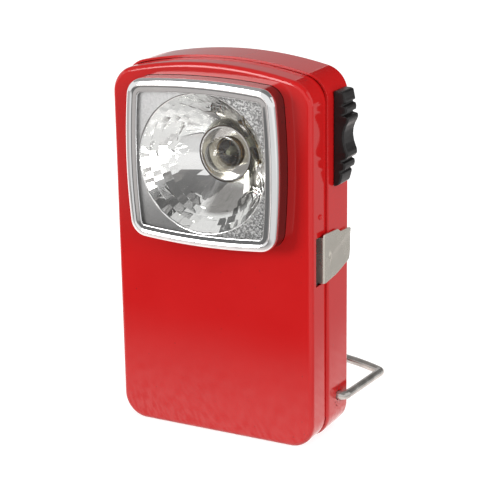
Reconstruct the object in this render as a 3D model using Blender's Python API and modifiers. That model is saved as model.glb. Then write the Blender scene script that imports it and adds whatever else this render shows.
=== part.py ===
"""A pocket torch for a flat 4.5 volt battery.

The case is two drawn steel trays that meet in a lap joint and open on a hinge at the left.
The front tray carries the lamp unit, the rear tray the battery, the switch and the wire bail.
Metres, +Z up, the lens faces -Y and the origin is at the middle of the base.
"""
import math

import bmesh
import bpy
from mathutils import Matrix

# Case
CASE_WIDTH = 0.0722
CASE_HEIGHT = 0.1242
CASE_DEPTH = 0.0261
FRONT_DEPTH = 0.0099
SHEET = 0.0005
GAP = 0.0003
EDGE_RADIUS = 0.0016
BASE_CORNER_RADIUS = 0.0082
TOP_CORNER_RADIUS = 0.0088
TOP_CROWN = 0.0050
LAP_DEPTH = 0.0020
OVERRUN = 0.0010

# Lamp unit
LAMP_DROP = 0.0317
BEZEL_WIDTH = 0.0541
BEZEL_HEIGHT = 0.0536
BEZEL_SIDE_BULGE = 0.0017
BEZEL_END_BULGE = 0.0017
BEZEL_CORNER_RADIUS = 0.0058
BEZEL_RISE = 0.0074
BEZEL_SHEET = 0.0004
BEZEL_RIM_WIDTH = 0.0043
BEZEL_RIM_DROP = 0.0004
BEZEL_SHOULDER_WIDTH = 0.0020
BEZEL_SHOULDER_RISE = 0.0022
BEZEL_FOOT_WIDTH = 0.0020
LENS_THICKNESS = 0.0006
LENS_EDGE_ROOM = 0.0014
FLANGE_THICKNESS = 0.0006
FLANGE_EDGE_ROOM = 0.0012
BOWL_RADIUS = 0.0223
BOWL_WALL = 0.0005
COLLAR_RADIUS = 0.0093
COLLAR_LENGTH = 0.0020
FRAME_SHEET = 0.0005
FRAME_FOOT_WIDTH = 0.0028
LUG_WIDTH = 0.0030
LUG_REACH = 0.0020
LUG_SPACING = 0.0260

# Bulb and its holder
GLASS_RADIUS = 0.00575
GLASS_WALL = 0.0005
NECK_RADIUS = 0.0039
NECK_LENGTH = 0.0040
CAP_RADIUS = 0.00477
CAP_WALL = 0.00045
CAP_LENGTH = 0.0080
CAP_THREAD_PITCH = 0.00165
CAP_THREAD_DEPTH = 0.0003
CAP_LEAD = 0.0008
VITRITE_LENGTH = 0.0010
TIP_RADIUS = 0.0016
TIP_LENGTH = 0.0007
STEM_RADIUS = 0.0016
STEM_LENGTH = 0.0032
LEAD_RADIUS = 0.00025
LEAD_SPREAD = 0.0026
FILAMENT_SAG = 0.0004
CUP_LIP_RISE = 0.0002
CUP_DEPTH = 0.0038
CUP_TAPER = 0.0005
SLEEVE_CLEARANCE = 0.00033
SLEEVE_LENGTH = 0.0072

# Lamp contact
BOARD_THICKNESS = 0.0010
BOARD_WIDTH = 0.0180
BOARD_BELOW = 0.0082
BOARD_ABOVE = 0.0145
BOARD_CORNER = 0.0015
BOARD_SETBACK = 0.0040
STRIP_WIDTH = 0.0060
STRIP_THICKNESS = 0.0003
STRIP_FOOT_LENGTH = 0.0050
STRIP_BEND_DROP = 0.0030
STRIP_TAIL = 0.0150
STRIP_PLAY = 0.0005
CONTACT_RIVET_RADIUS = 0.0008
RIVET_HEAD_RADIUS = 0.0014
RIVET_HEAD_HEIGHT = 0.0006

# Battery
BATTERY_SIDE_ROOM = 0.0046
BATTERY_FRONT_ROOM = 0.0026
BATTERY_CORNER_RADIUS = 0.0090
BATTERY_TOP_ROOM = 0.0290
LID_THICKNESS = 0.0015
LID_INSET = 0.0008
TERMINAL_WIDTH = 0.0065
TERMINAL_THICKNESS = 0.0003
SHORT_TERMINAL_OFFSET = 0.0130
SHORT_TERMINAL_REACH = 0.0170
LONG_TERMINAL_OFFSET = 0.0250
LONG_TERMINAL_RISE = 0.0140
LONG_TERMINAL_STAND = 0.0030
LINER_THICKNESS = 0.0003
LINER_WIDTH = 0.0420
LINER_HEIGHT = 0.0400

# Switch
SWITCH_DROP = 0.0242
SLIDER_LENGTH = 0.0301
SLIDER_WIDTH = 0.0082
SLIDER_RISE = 0.0050
SLIDER_EDGE = 0.0003
SLIDER_TRAVEL = 0.0060
STEM_WIDTH = 0.0026
BRIDGE_LENGTH = 0.0140
BRIDGE_WIDTH = 0.0056
BRIDGE_THICKNESS = 0.00035
SWITCH_PIN_RADIUS = 0.0006
PLATE_LENGTH = 0.0180
PLATE_WIDTH = 0.0056
PLATE_THICKNESS = 0.0003
SWITCH_BOARD_MARGIN = 0.0012
SWITCH_BOARD_THICKNESS = 0.0003
PLATE_RIVET_SPACING = 0.0110
CONTACT_LEAD = 0.0020

# Latch
LATCH_DROP = 0.0610
LATCH_THICKNESS = 0.0005
LATCH_FRONT_WIDTH = 0.0146
LATCH_REAR_WIDTH = 0.0110
LATCH_LEG_WIDTH = 0.0150
LATCH_LEG_DROP = 0.0008
LATCH_SETBACK = 0.0059
LATCH_REAR_MARGIN = 0.0007
LATCH_SLOT_LENGTH = 0.0040
LATCH_SLOT_MARGIN = 0.00045
LATCH_LEG_ROOM = 0.0005
LATCH_PIN_RADIUS = 0.0005
LATCH_PIN_PLAY = 0.0001
LATCH_DIMPLE_LENGTH = 0.0040
LATCH_DIMPLE_WIDTH = 0.0026
LATCH_DIMPLE_RISE = 0.0005
BRACKET_THICKNESS = 0.0005
BRACKET_STRIP_WIDTH = 0.0024
BRACKET_PAD_HEIGHT = 0.0075
BRACKET_PAD_WIDTH = 0.0068
LATCH_RIVET_RADIUS = 0.0005
LATCH_RIVET_HEAD = 0.0009
LATCH_RIVET_RISE = 0.0004
LATCH_RIVET_ABOVE = 0.0062

# Hinge
HINGE_DROP = 0.0622
HINGE_LENGTH = 0.0400
HINGE_SHEET = 0.0005
KNUCKLE_RADIUS = 0.0015
HINGE_PIN_PLAY = 0.0001
LEAF_REACH = 0.0062
LEAF_JOGGLE_START = 0.0020
LEAF_JOGGLE_LENGTH = 0.0013
HINGE_RIVET_RADIUS = 0.0006
HINGE_RIVET_SHARE = 0.65
HINGE_RIVET_HEAD = 0.0011
HINGE_RIVET_RISE = 0.0005
HINGE_RIVET_REACH = 0.0045

# Wire bail
BAIL_HEIGHT = 0.0130
BAIL_WIRE_RADIUS = 0.00145
BAIL_SIDE_ROOM = 0.0009
BAIL_HOLE_PLAY = 0.0002
BAIL_LEG_LENGTH = 0.0307
BAIL_BOW = 0.0110
BAIL_ELBOW_RADIUS = 0.0022
BAIL_CORNER_RADIUS = 0.0026
BAIL_END_LENGTH = 0.0030
BAIL_DROOP = math.radians(4.0)

# Smoothness, in pieces of arc
ARC_STEPS = 8
CROWN_STEPS = 12
FILLET_STEPS = 4
SHOULDER_STEPS = 5
TURN_STEPS = 24
BOWL_STEPS = 40
HINGE_KNUCKLES = 5
DOME_STEPS = 3

# The grip of the switch, from its lower end up: share of its length, share of its rise
GRIP_SHARES = (
    (0.000, 0.30), (0.030, 0.44), (0.085, 0.54), (0.130, 0.58), (0.145, 0.50), (0.165, 0.48),
    (0.180, 0.74), (0.215, 0.79), (0.245, 0.77), (0.258, 0.60), (0.280, 0.58), (0.292, 0.84),
    (0.320, 0.94), (0.355, 0.93), (0.400, 0.83), (0.455, 0.72), (0.515, 0.67), (0.570, 0.69),
    (0.630, 0.80), (0.680, 0.95), (0.710, 1.00), (0.735, 0.97), (0.748, 0.64), (0.768, 0.63),
    (0.780, 0.85), (0.815, 0.87), (0.842, 0.83), (0.855, 0.64), (0.872, 0.65), (0.885, 0.79),
    (0.930, 0.75), (0.985, 0.68), (1.000, 0.60),
)

# The latch plate, from its front edge back: share of its length, share of half its width above and below
LATCH_TOP_SHARES = ((0.00, 1.09), (0.50, 1.00), (0.61, 0.82), (1.00, 0.75))
LATCH_BASE_SHARES = ((0.965, -0.66), (0.90, -0.74), (0.80, -0.80), (0.47, -1.00), (0.00, -1.12))
LATCH_WIDEST_SHARE = 1.20

HALF_WIDTH = CASE_WIDTH / 2
FRONT_HALF_WIDTH = HALF_WIDTH - SHEET - GAP
FRONT_FACE = -CASE_DEPTH / 2
REAR_FACE = CASE_DEPTH / 2
SEAM = FRONT_FACE + FRONT_DEPTH
REAR_MIDDLE = (SEAM + REAR_FACE) / 2
LAMP_HEIGHT = CASE_HEIGHT - LAMP_DROP
SWITCH_HEIGHT = CASE_HEIGHT - SWITCH_DROP
LATCH_HEIGHT = CASE_HEIGHT - LATCH_DROP
HINGE_HEIGHT = CASE_HEIGHT - HINGE_DROP
HINGE_RIVET_SPACING = HINGE_LENGTH * HINGE_RIVET_SHARE

ALONG_Y = (math.radians(90), 0, 0)
ALONG_X = (math.radians(90), 0, math.radians(90))
TURNED_ALONG_Y = (math.radians(-90), 0, 0)
TURNED_ALONG_X = (0, math.radians(90), 0)


def clear_scene():
    for thing in list(bpy.data.objects):
        bpy.data.objects.remove(thing, do_unlink=True)


def make_collection(name):
    collection = bpy.data.collections.new(name)
    bpy.context.scene.collection.children.link(collection)
    return collection


def principled(name, colour, roughness, metallic=0.0, transmission=0.0):
    material = bpy.data.materials.new(name)
    material.use_nodes = True
    shader = material.node_tree.nodes["Principled BSDF"]
    shader.inputs["Base Color"].default_value = (*colour, 1.0)
    shader.inputs["Roughness"].default_value = roughness
    shader.inputs["Metallic"].default_value = metallic
    shader.inputs["Transmission Weight"].default_value = transmission
    material.diffuse_color = (*colour, 1.0)
    return material


def place(obj, material, location=(0, 0, 0), rotation=(0, 0, 0)):
    obj.location = location
    obj.rotation_euler = rotation
    obj.data.materials.clear()
    obj.data.materials.append(material)
    return obj


def new_object(name, mesh, collection):
    obj = bpy.data.objects.new(name, mesh)
    collection.objects.link(obj)
    return obj


def smooth(obj, angle=math.radians(40)):
    obj.data.shade_smooth()
    obj.data.set_sharp_from_angle(angle=angle)
    return obj


def arc(centre, radius, start, end, steps):
    """Points on a circle, both ends included."""
    points = []
    for step in range(steps + 1):
        angle = start + (end - start) * step / steps
        points.append((centre[0] + radius * math.cos(angle), centre[1] + radius * math.sin(angle)))
    return points


def crown_circle(half_width, top, crown):
    """Centre height and radius of the arc that rises by the crown over the half width."""
    radius = (half_width ** 2 + crown ** 2) / (2 * crown)
    return top - radius, radius


def crowned_corner(half_width, top, crown, corner_radius):
    """Centre of the corner that runs from a straight side into a crowned top, and where it ends."""
    low, radius = crown_circle(half_width, top, crown)
    across = half_width - corner_radius
    height = low + math.sqrt((radius - corner_radius) ** 2 - across ** 2)
    return (across, height), math.atan2(height - low, across)


def case_outline(half_width, top, inset=0.0):
    """Front view of a tray: straight sides, flat base, crowned top. Counter-clockwise."""
    side = half_width - inset
    low, crown_radius = crown_circle(half_width, top, TOP_CROWN)
    corner, turn = crowned_corner(half_width, top, TOP_CROWN, TOP_CORNER_RADIUS)
    base = (half_width - BASE_CORNER_RADIUS, BASE_CORNER_RADIUS)
    base_radius = BASE_CORNER_RADIUS - inset
    right = arc(base, base_radius, math.radians(-90), 0, ARC_STEPS)
    right += arc(corner, side - corner[0], 0, turn, ARC_STEPS)
    crown = arc((0, low), crown_radius - inset, turn, math.pi - turn, CROWN_STEPS)
    left = [(-x, z) for x, z in reversed(right)]
    return right + crown[1:-1] + left


def bezel_outline(inset):
    """Front view of the lamp frame, all four sides bowed out, about the lamp's axis."""
    half_width = BEZEL_WIDTH / 2
    half_height = BEZEL_HEIGHT / 2
    reach, end_radius = crown_circle(half_width, half_height, BEZEL_END_BULGE)
    out, side_radius = crown_circle(half_height, half_width, BEZEL_SIDE_BULGE)
    corner = meeting_point(out, side_radius - BEZEL_CORNER_RADIUS, reach, end_radius - BEZEL_CORNER_RADIUS)
    low_turn = math.atan2(corner[1], corner[0] - out)
    high_turn = math.atan2(corner[1] - reach, corner[0])
    quarter = arc((out, 0), side_radius - inset, 0, low_turn, FILLET_STEPS)
    quarter += arc(corner, BEZEL_CORNER_RADIUS - inset, low_turn, high_turn, ARC_STEPS)[1:]
    quarter += arc((0, reach), end_radius - inset, high_turn, math.radians(90), FILLET_STEPS)[1:]
    upper = quarter + [(-x, z) for x, z in reversed(quarter[:-1])]
    lower = [(x, -z) for x, z in reversed(upper[1:-1])]
    return upper + lower


def meeting_point(out, out_radius, up, up_radius):
    """Where a circle centred on the x axis meets one centred on the z axis, at the upper right."""
    apart = math.hypot(out, up)
    along = (out_radius ** 2 - up_radius ** 2 + apart ** 2) / (2 * apart)
    aside = math.sqrt(out_radius ** 2 - along ** 2)
    toward = (-out / apart, up / apart)
    first = (out + along * toward[0] + aside * toward[1], along * toward[1] - aside * toward[0])
    second = (out + along * toward[0] - aside * toward[1], along * toward[1] + aside * toward[0])
    return max(first, second)


def as_mesh(curve_object, name, collection):
    """The closed mesh of a curve, its caps welded on, in place of the curve."""
    view = bpy.context.evaluated_depsgraph_get()
    mesh = bpy.data.meshes.new_from_object(curve_object.evaluated_get(view))
    mesh.name = name
    solid = new_object(name, mesh, collection)
    solid.matrix_world = curve_object.matrix_world
    weld(mesh)
    bpy.data.objects.remove(curve_object, do_unlink=True)
    return solid


def weld(mesh):
    shape = bmesh.new()
    shape.from_mesh(mesh)
    bmesh.ops.remove_doubles(shape, verts=shape.verts, dist=SHEET / 1000)
    bmesh.ops.recalc_face_normals(shape, faces=shape.faces)
    shape.to_mesh(mesh)
    shape.free()


def plate(name, outline, thickness, collection):
    """A flat outline in the object's own XY plane, as thick to one side of it as to the other."""
    curve = bpy.data.curves.new(name + "_outline", "CURVE")
    curve.dimensions = "2D"
    curve.fill_mode = "BOTH"
    curve.extrude = thickness / 2
    spline = curve.splines.new("POLY")
    spline.points.add(len(outline) - 1)
    for point, (across, up) in zip(spline.points, outline):
        point.co = (across, up, 0, 1)
    spline.use_cyclic_u = True
    holder = new_object(name + "_outline", curve, collection)
    bpy.context.view_layer.update()
    return as_mesh(holder, name, collection)


def box(name, low, high, collection):
    """A block between two corners of the world."""
    mesh = bpy.data.meshes.new(name)
    shape = bmesh.new()
    bmesh.ops.create_cube(shape, size=1.0)
    size = [b - a for a, b in zip(low, high)]
    middle = [(a + b) / 2 for a, b in zip(low, high)]
    bmesh.ops.transform(shape, matrix=Matrix.Diagonal((*size, 1.0)), verts=shape.verts)
    shape.to_mesh(mesh)
    shape.free()
    block = new_object(name, mesh, collection)
    block.location = middle
    return block


def rod(name, radius, length, location, rotation, collection, steps=TURN_STEPS):
    """A round bar, its middle at the location, along its own Z axis."""
    mesh = bpy.data.meshes.new(name)
    shape = bmesh.new()
    bmesh.ops.create_cone(
        shape, cap_ends=True, segments=steps, radius1=radius, radius2=radius, depth=length
    )
    shape.to_mesh(mesh)
    shape.free()
    bar = new_object(name, mesh, collection)
    bar.location = location
    bar.rotation_euler = rotation
    return bar


def turned(name, profile, closed, steps, collection):
    """A profile of (radius, height) points, outer side first and from the top down, turned about Z."""
    mesh = bpy.data.meshes.new(name)
    shape = bmesh.new()
    points = [shape.verts.new((radius, 0, height)) for radius, height in profile]
    for first, second in zip(points, points[1:]):
        shape.edges.new((first, second))
    if closed:
        shape.edges.new((points[-1], points[0]))
    shape.to_mesh(mesh)
    shape.free()
    obj = new_object(name, mesh, collection)
    screw = obj.modifiers.new("turn", "SCREW")
    screw.steps = steps
    screw.render_steps = steps
    screw.use_merge_vertices = True
    screw.merge_threshold = SHEET / 1000
    screw.use_normal_calculate = False
    return obj


def ribbon(name, path, width, thickness, collection):
    """A strip of sheet that follows a path in the object's own XZ plane, its width along Y."""
    mesh = bpy.data.meshes.new(name)
    shape = bmesh.new()
    rows = []
    for across, up in path:
        rows.append([shape.verts.new((across, side * width / 2, up)) for side in (-1, 1)])
    for first, second in zip(rows, rows[1:]):
        shape.faces.new((first[0], second[0], second[1], first[1]))
    shape.to_mesh(mesh)
    shape.free()
    strip = new_object(name, mesh, collection)
    thicken(strip, thickness, 0.0)
    return strip


def thicken(obj, thickness, offset):
    solid = obj.modifiers.new("sheet", "SOLIDIFY")
    solid.thickness = thickness
    solid.offset = offset
    solid.use_even_offset = True


def loft(name, rings, collection):
    """A closed frame: rings of as many points each, joined one to the next and the last to the first."""
    mesh = bpy.data.meshes.new(name)
    shape = bmesh.new()
    loops = [[shape.verts.new(point) for point in ring] for ring in rings]
    count = len(loops[0])
    for first, second in zip(loops, loops[1:] + loops[:1]):
        for index in range(count):
            after = (index + 1) % count
            shape.faces.new((first[index], first[after], second[after], second[index]))
    bmesh.ops.recalc_face_normals(shape, faces=shape.faces)
    shape.to_mesh(mesh)
    shape.free()
    return new_object(name, mesh, collection)


def tray(name, outline, open_end, closed_end, collection):
    """A drawn tray: an outline swept to a flat face, its edge rounded over, then given its sheet."""
    mesh = bpy.data.meshes.new(name)
    shape = bmesh.new()
    floor = shape.faces.new([shape.verts.new((x, closed_end, z)) for x, z in outline])
    rounding = shape.edges.layers.float.new("bevel_weight_edge")
    for edge in floor.edges:
        edge[rounding] = 1.0
    walls = bmesh.ops.extrude_edge_only(shape, edges=list(floor.edges))["geom"]
    for vert in (item for item in walls if isinstance(item, bmesh.types.BMVert)):
        vert.co.y = open_end
    bmesh.ops.recalc_face_normals(shape, faces=shape.faces)
    outward = 1.0 if closed_end > open_end else -1.0
    if floor.normal.y * outward < 0:
        bmesh.ops.reverse_faces(shape, faces=shape.faces)
    shape.to_mesh(mesh)
    shape.free()
    obj = new_object(name, mesh, collection)
    bevel = obj.modifiers.new("edge", "BEVEL")
    bevel.limit_method = "WEIGHT"
    bevel.width = EDGE_RADIUS
    bevel.segments = FILLET_STEPS
    thicken(obj, SHEET, -1.0)
    return obj


def change(target, other, operation):
    boolean = target.modifiers.new(operation.lower(), "BOOLEAN")
    boolean.operation = operation
    boolean.solver = "EXACT"
    boolean.object = other
    other.hide_render = True
    other.display_type = "WIRE"


def cut(target, cutter):
    change(target, cutter, "DIFFERENCE")


def join(target, piece):
    change(target, piece, "UNION")


def carried_by(pivot, pieces):
    bpy.context.view_layer.update()
    for piece in pieces:
        piece.parent = pivot
        piece.matrix_parent_inverse = pivot.matrix_world.inverted()


def pivot_at(name, location, collection):
    pivot = bpy.data.objects.new(name, None)
    collection.objects.link(pivot)
    pivot.location = location
    return pivot


def rear_shell(parts, cutters, paint):
    """The deeper tray, with the switch slot and the two holes of the bail."""
    obj = tray("rear_shell", case_outline(HALF_WIDTH, CASE_HEIGHT), SEAM, REAR_FACE, parts)
    place(obj, paint)
    slot_low = SWITCH_HEIGHT - SLIDER_TRAVEL - STEM_WIDTH / 2 - GAP
    slot_high = SWITCH_HEIGHT + STEM_WIDTH / 2 + GAP
    slot_half = STEM_WIDTH / 2 + GAP
    inside = HALF_WIDTH - SHEET - OVERRUN
    outside = HALF_WIDTH + OVERRUN
    cut(obj, box(
        "switch_slot", (inside, REAR_MIDDLE - slot_half, slot_low),
        (outside, REAR_MIDDLE + slot_half, slot_high), cutters,
    ))
    for side, label in ((-1, "left"), (1, "right")):
        cut(obj, rod(
            "bail_hole_" + label, BAIL_WIRE_RADIUS + BAIL_HOLE_PLAY, SHEET + 2 * OVERRUN,
            (side * (HALF_WIDTH - SHEET / 2), REAR_MIDDLE, BAIL_HEIGHT), TURNED_ALONG_X, cutters,
        ))
    for height in hinge_rivet_heights():
        cut(obj, rivet_hole("rear_rivet_hole", -HALF_WIDTH, SEAM + HINGE_RIVET_REACH, height, cutters))
    return smooth(obj)


def front_shell(parts, cutters, paint):
    """The shallow tray, with the lamp opening, the latch slot and the lap that enters the rear tray."""
    top = CASE_HEIGHT - SHEET - GAP
    outline = case_outline(FRONT_HALF_WIDTH, top)
    obj = tray("front_shell", outline, SEAM + LAP_DEPTH, FRONT_FACE, parts)
    place(obj, paint)
    opening = plate("lamp_opening", bezel_outline(-GAP), 2 * (EDGE_RADIUS + OVERRUN), cutters)
    opening.rotation_euler = ALONG_Y
    opening.location = (0, FRONT_FACE, LAMP_HEIGHT)
    cut(obj, opening)
    cut(obj, box(
        "base_lap", (-HALF_WIDTH, SEAM - GAP, -OVERRUN),
        (HALF_WIDTH, SEAM + LAP_DEPTH + OVERRUN, BASE_CORNER_RADIUS), cutters,
    ))
    leg = latch_leg_face()
    slot_front = leg + LATCH_THICKNESS + LATCH_LEG_ROOM - LATCH_SLOT_LENGTH
    slot_half = LATCH_LEG_WIDTH / 2 + LATCH_SLOT_MARGIN
    cut(obj, box(
        "latch_slot",
        (FRONT_HALF_WIDTH - SHEET - OVERRUN, slot_front, latch_leg_height() - slot_half),
        (FRONT_HALF_WIDTH + OVERRUN, slot_front + LATCH_SLOT_LENGTH, latch_leg_height() + slot_half),
        cutters,
    ))
    cut(obj, rod(
        "latch_rivet_hole", LATCH_RIVET_RADIUS + GAP, SHEET + 2 * OVERRUN,
        (FRONT_HALF_WIDTH - SHEET / 2, latch_leg_face(), latch_rivet_height()), TURNED_ALONG_X, cutters,
    ))
    for height in hinge_rivet_heights():
        cut(obj, rivet_hole("front_rivet_hole", -FRONT_HALF_WIDTH, SEAM - HINGE_RIVET_REACH, height, cutters))
    for lug in lamp_lugs(cutters):
        join(obj, lug)
    return smooth(obj)


def lamp_lugs(cutters):
    """Four tongues that are bent over the foot of the lamp frame."""
    inner_face = FRONT_FACE + SHEET
    foot = BEZEL_WIDTH / 2 + max(BEZEL_FOOT_WIDTH, FRAME_FOOT_WIDTH - BEZEL_SHEET - FRAME_SHEET - GAP) + GAP
    rise = inner_face + BEZEL_SHEET + FRAME_SHEET + 3 * GAP
    root = inner_face - SHEET / 2
    lugs = []
    for side in (-1, 1):
        for level in (-1, 1):
            outer = side * (foot + SHEET)
            inner = side * (foot - LUG_REACH)
            over = [(outer, root), (outer, rise + SHEET), (inner, rise + SHEET), (inner, rise)]
            lug = plate("lamp_lug", over + [(side * foot, rise), (side * foot, root)], LUG_WIDTH, cutters)
            lug.location = (0, 0, LAMP_HEIGHT + level * LUG_SPACING / 2)
            lugs.append(lug)
    return lugs


def bezel(parts, chrome):
    """The drawn lamp frame: foot inside the tray, straight wall, rounded shoulder, dished rim."""
    wall_top = BEZEL_RISE - BEZEL_SHOULDER_RISE
    foot = -SHEET - GAP
    outer = [(-BEZEL_FOOT_WIDTH, foot), (0, foot)]
    inner = [(-BEZEL_FOOT_WIDTH, foot - BEZEL_SHEET), (BEZEL_SHEET, foot - BEZEL_SHEET)]
    for step in range(SHOULDER_STEPS + 1):
        turn = math.radians(90) * step / SHOULDER_STEPS
        outer.append((
            BEZEL_SHOULDER_WIDTH * (1 - math.cos(turn)), wall_top + BEZEL_SHOULDER_RISE * math.sin(turn)
        ))
        inner.append((
            BEZEL_SHOULDER_WIDTH - (BEZEL_SHOULDER_WIDTH - BEZEL_SHEET) * math.cos(turn),
            wall_top + (BEZEL_SHOULDER_RISE - BEZEL_SHEET) * math.sin(turn),
        ))
    outer.append((BEZEL_RIM_WIDTH, BEZEL_RISE - BEZEL_RIM_DROP))
    inner.append((BEZEL_RIM_WIDTH, BEZEL_RISE - BEZEL_RIM_DROP - BEZEL_SHEET))
    rings = [lamp_ring(inset, rise) for inset, rise in outer + inner[::-1]]
    return smooth(place(loft("bezel", rings, parts), chrome))


def lamp_ring(inset, rise):
    """The lamp outline at an inset, so far in front of the front face."""
    return [(x, FRONT_FACE - rise, LAMP_HEIGHT + z) for x, z in bezel_outline(inset)]


def lens_front():
    return BEZEL_RISE - BEZEL_RIM_DROP - BEZEL_SHEET - GAP / 2


def flange_front():
    return lens_front() - LENS_THICKNESS - GAP / 2


def lens(parts, clear):
    obj = plate("lens", bezel_outline(LENS_EDGE_ROOM), LENS_THICKNESS, parts)
    middle = FRONT_FACE - lens_front() + LENS_THICKNESS / 2
    return place(obj, clear, (0, middle, LAMP_HEIGHT), ALONG_Y)


def bulb_reach():
    """How far the bulb's centre contact stands behind the front of the holder's collar."""
    return CUP_LIP_RISE + CUP_DEPTH - CAP_LEAD + CAP_LENGTH + VITRITE_LENGTH + GAP + TIP_LENGTH


def collar_plane():
    """Where the bowl ends and its collar starts, with room behind the bulb for both strips and the card."""
    behind_bulb = STRIP_THICKNESS + TERMINAL_THICKNESS + LINER_THICKNESS + 4 * GAP + STRIP_PLAY
    return REAR_FACE - SHEET - behind_bulb - bulb_reach()


def bowl_depth():
    return collar_plane() - FRONT_FACE + flange_front()


def bowl_curve(depth):
    """Radius of the mirror so far behind its rim, a parabola that ends at the collar."""
    fall = (BOWL_RADIUS ** 2 - COLLAR_RADIUS ** 2) / bowl_depth()
    return math.sqrt(BOWL_RADIUS ** 2 - fall * depth)


def reflector(parts, cutters, mirror):
    """A parabolic bowl with a collar for the bulb holder, in a flange that fills the lamp frame."""
    depths = [bowl_depth() * step / CROWN_STEPS for step in range(CROWN_STEPS + 1)]
    end = bowl_depth() + COLLAR_LENGTH
    outer = [(COLLAR_RADIUS + BOWL_WALL, end)]
    outer += [(bowl_curve(depth) + BOWL_WALL, depth + BOWL_WALL * (depth > 0)) for depth in reversed(depths)]
    inner = [(bowl_curve(depth), depth) for depth in depths] + [(COLLAR_RADIUS, end)]
    bowl = turned("reflector", outer + inner, True, BOWL_STEPS, parts)
    front = FRONT_FACE - flange_front()
    place(bowl, mirror, (0, front, LAMP_HEIGHT), TURNED_ALONG_Y)
    flange = plate("reflector_flange", bezel_outline(FLANGE_EDGE_ROOM), FLANGE_THICKNESS, cutters)
    flange.rotation_euler = ALONG_Y
    flange.location = (0, front + FLANGE_THICKNESS / 2, LAMP_HEIGHT)
    mouth = rod(
        "reflector_mouth", BOWL_RADIUS + BOWL_WALL / 2, FLANGE_THICKNESS + 2 * OVERRUN,
        (0, front + FLANGE_THICKNESS / 2, LAMP_HEIGHT), ALONG_Y, cutters, BOWL_STEPS,
    )
    cut(flange, mouth)
    join(bowl, flange)
    return smooth(bowl)


def retaining_frame(parts, steel):
    """The frame behind the reflector, its wall inside the bezel's and its foot on the bezel's foot."""
    front = flange_front() - FLANGE_THICKNESS - GAP
    back = -SHEET - GAP - BEZEL_SHEET - GAP
    outside = BEZEL_SHEET + GAP
    inside = outside + FRAME_SHEET
    corners = [
        (outside, front), (inside, front), (inside, back - FRAME_SHEET),
        (inside - FRAME_FOOT_WIDTH, back - FRAME_SHEET), (inside - FRAME_FOOT_WIDTH, back), (outside, back),
    ]
    return place(loft("retaining_frame", [lamp_ring(*corner) for corner in corners], parts), steel)


def bulb_holder(parts, brass):
    """A cup that sits in the reflector's collar, with the sleeve that takes the bulb's thread."""
    lip = COLLAR_RADIUS - GAP
    inner = CAP_RADIUS + SLEEVE_CLEARANCE
    floor = CUP_LIP_RISE + CUP_DEPTH
    wall = BOWL_WALL
    profile = [
        (inner + wall, floor + SLEEVE_LENGTH), (inner + wall, floor + wall), (lip - CUP_TAPER, floor + wall),
        (lip, CUP_LIP_RISE), (lip - wall, CUP_LIP_RISE), (lip - wall - CUP_TAPER, floor), (inner, floor),
        (inner, floor + SLEEVE_LENGTH),
    ]
    obj = turned("bulb_holder", profile, True, TURN_STEPS, parts)
    return smooth(place(obj, brass, (0, collar_plane(), LAMP_HEIGHT), TURNED_ALONG_Y))


def bulb_centre():
    """Middle of the glass ball, whose neck starts just in front of the cap."""
    return cap_front() - GAP - math.sqrt(GLASS_RADIUS ** 2 - NECK_RADIUS ** 2)


def cap_front():
    return collar_plane() + CUP_LIP_RISE + CUP_DEPTH - CAP_LEAD


def bulb_glass(parts, clear):
    """A blown ball with an open neck that enters the cap."""
    centre = bulb_centre()
    end = cap_front() + NECK_LENGTH - centre
    low = math.radians(-90)
    high = math.acos(NECK_RADIUS / GLASS_RADIUS)
    inner_radius = GLASS_RADIUS - GLASS_WALL
    inner_high = math.acos((NECK_RADIUS - GLASS_WALL) / inner_radius)
    inner = [(0, -inner_radius)] + arc((0, 0), inner_radius, low, inner_high, CROWN_STEPS)[1:]
    outer = arc((0, 0), GLASS_RADIUS, high, low, CROWN_STEPS)[:-1] + [(0, -GLASS_RADIUS)]
    profile = inner + [(NECK_RADIUS - GLASS_WALL, end), (NECK_RADIUS, end)] + outer
    obj = turned("bulb_glass", profile, False, TURN_STEPS, parts)
    return smooth(place(obj, clear, (0, centre, LAMP_HEIGHT), TURNED_ALONG_Y))


def bulb_cap(parts, brass):
    """The brass cap, its thread drawn as round ridges."""
    turns = int((CAP_LENGTH - 2 * CAP_LEAD) / CAP_THREAD_PITCH)
    root = CAP_RADIUS - CAP_THREAD_DEPTH
    outer = [(root, CAP_LENGTH)]
    for turn in range(turns, 0, -1):
        crest = CAP_LEAD + (turn - 0.5) * CAP_THREAD_PITCH
        outer += [(root, crest + CAP_THREAD_PITCH / 2), (CAP_RADIUS, crest)]
    outer += [(root, CAP_LEAD), (root, 0)]
    bore = root - CAP_WALL / 2
    obj = turned("bulb_cap", outer + [(bore, 0), (bore, CAP_LENGTH)], True, TURN_STEPS, parts)
    return smooth(place(obj, brass, (0, cap_front(), LAMP_HEIGHT), TURNED_ALONG_Y))


def bulb_vitrite(parts, black):
    """The black glass that closes the cap around the centre contact."""
    root = CAP_RADIUS - CAP_THREAD_DEPTH - CAP_WALL
    profile = [(0, VITRITE_LENGTH), (TIP_RADIUS, VITRITE_LENGTH), (root, 0), (0, 0)]
    obj = turned("bulb_vitrite", profile, False, TURN_STEPS, parts)
    return place(obj, black, (0, cap_front() + CAP_LENGTH + GAP / 2, LAMP_HEIGHT), TURNED_ALONG_Y)


def tip_face():
    """Where the bulb's centre contact ends."""
    return collar_plane() + bulb_reach()


def bulb_tip(parts, tin):
    profile = [(0, TIP_LENGTH), (TIP_RADIUS / 2, TIP_LENGTH), (TIP_RADIUS, 0), (0, 0)]
    obj = turned("bulb_tip", profile, False, TURN_STEPS, parts)
    return smooth(place(obj, tin, (0, tip_face() - TIP_LENGTH, LAMP_HEIGHT), TURNED_ALONG_Y))


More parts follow.
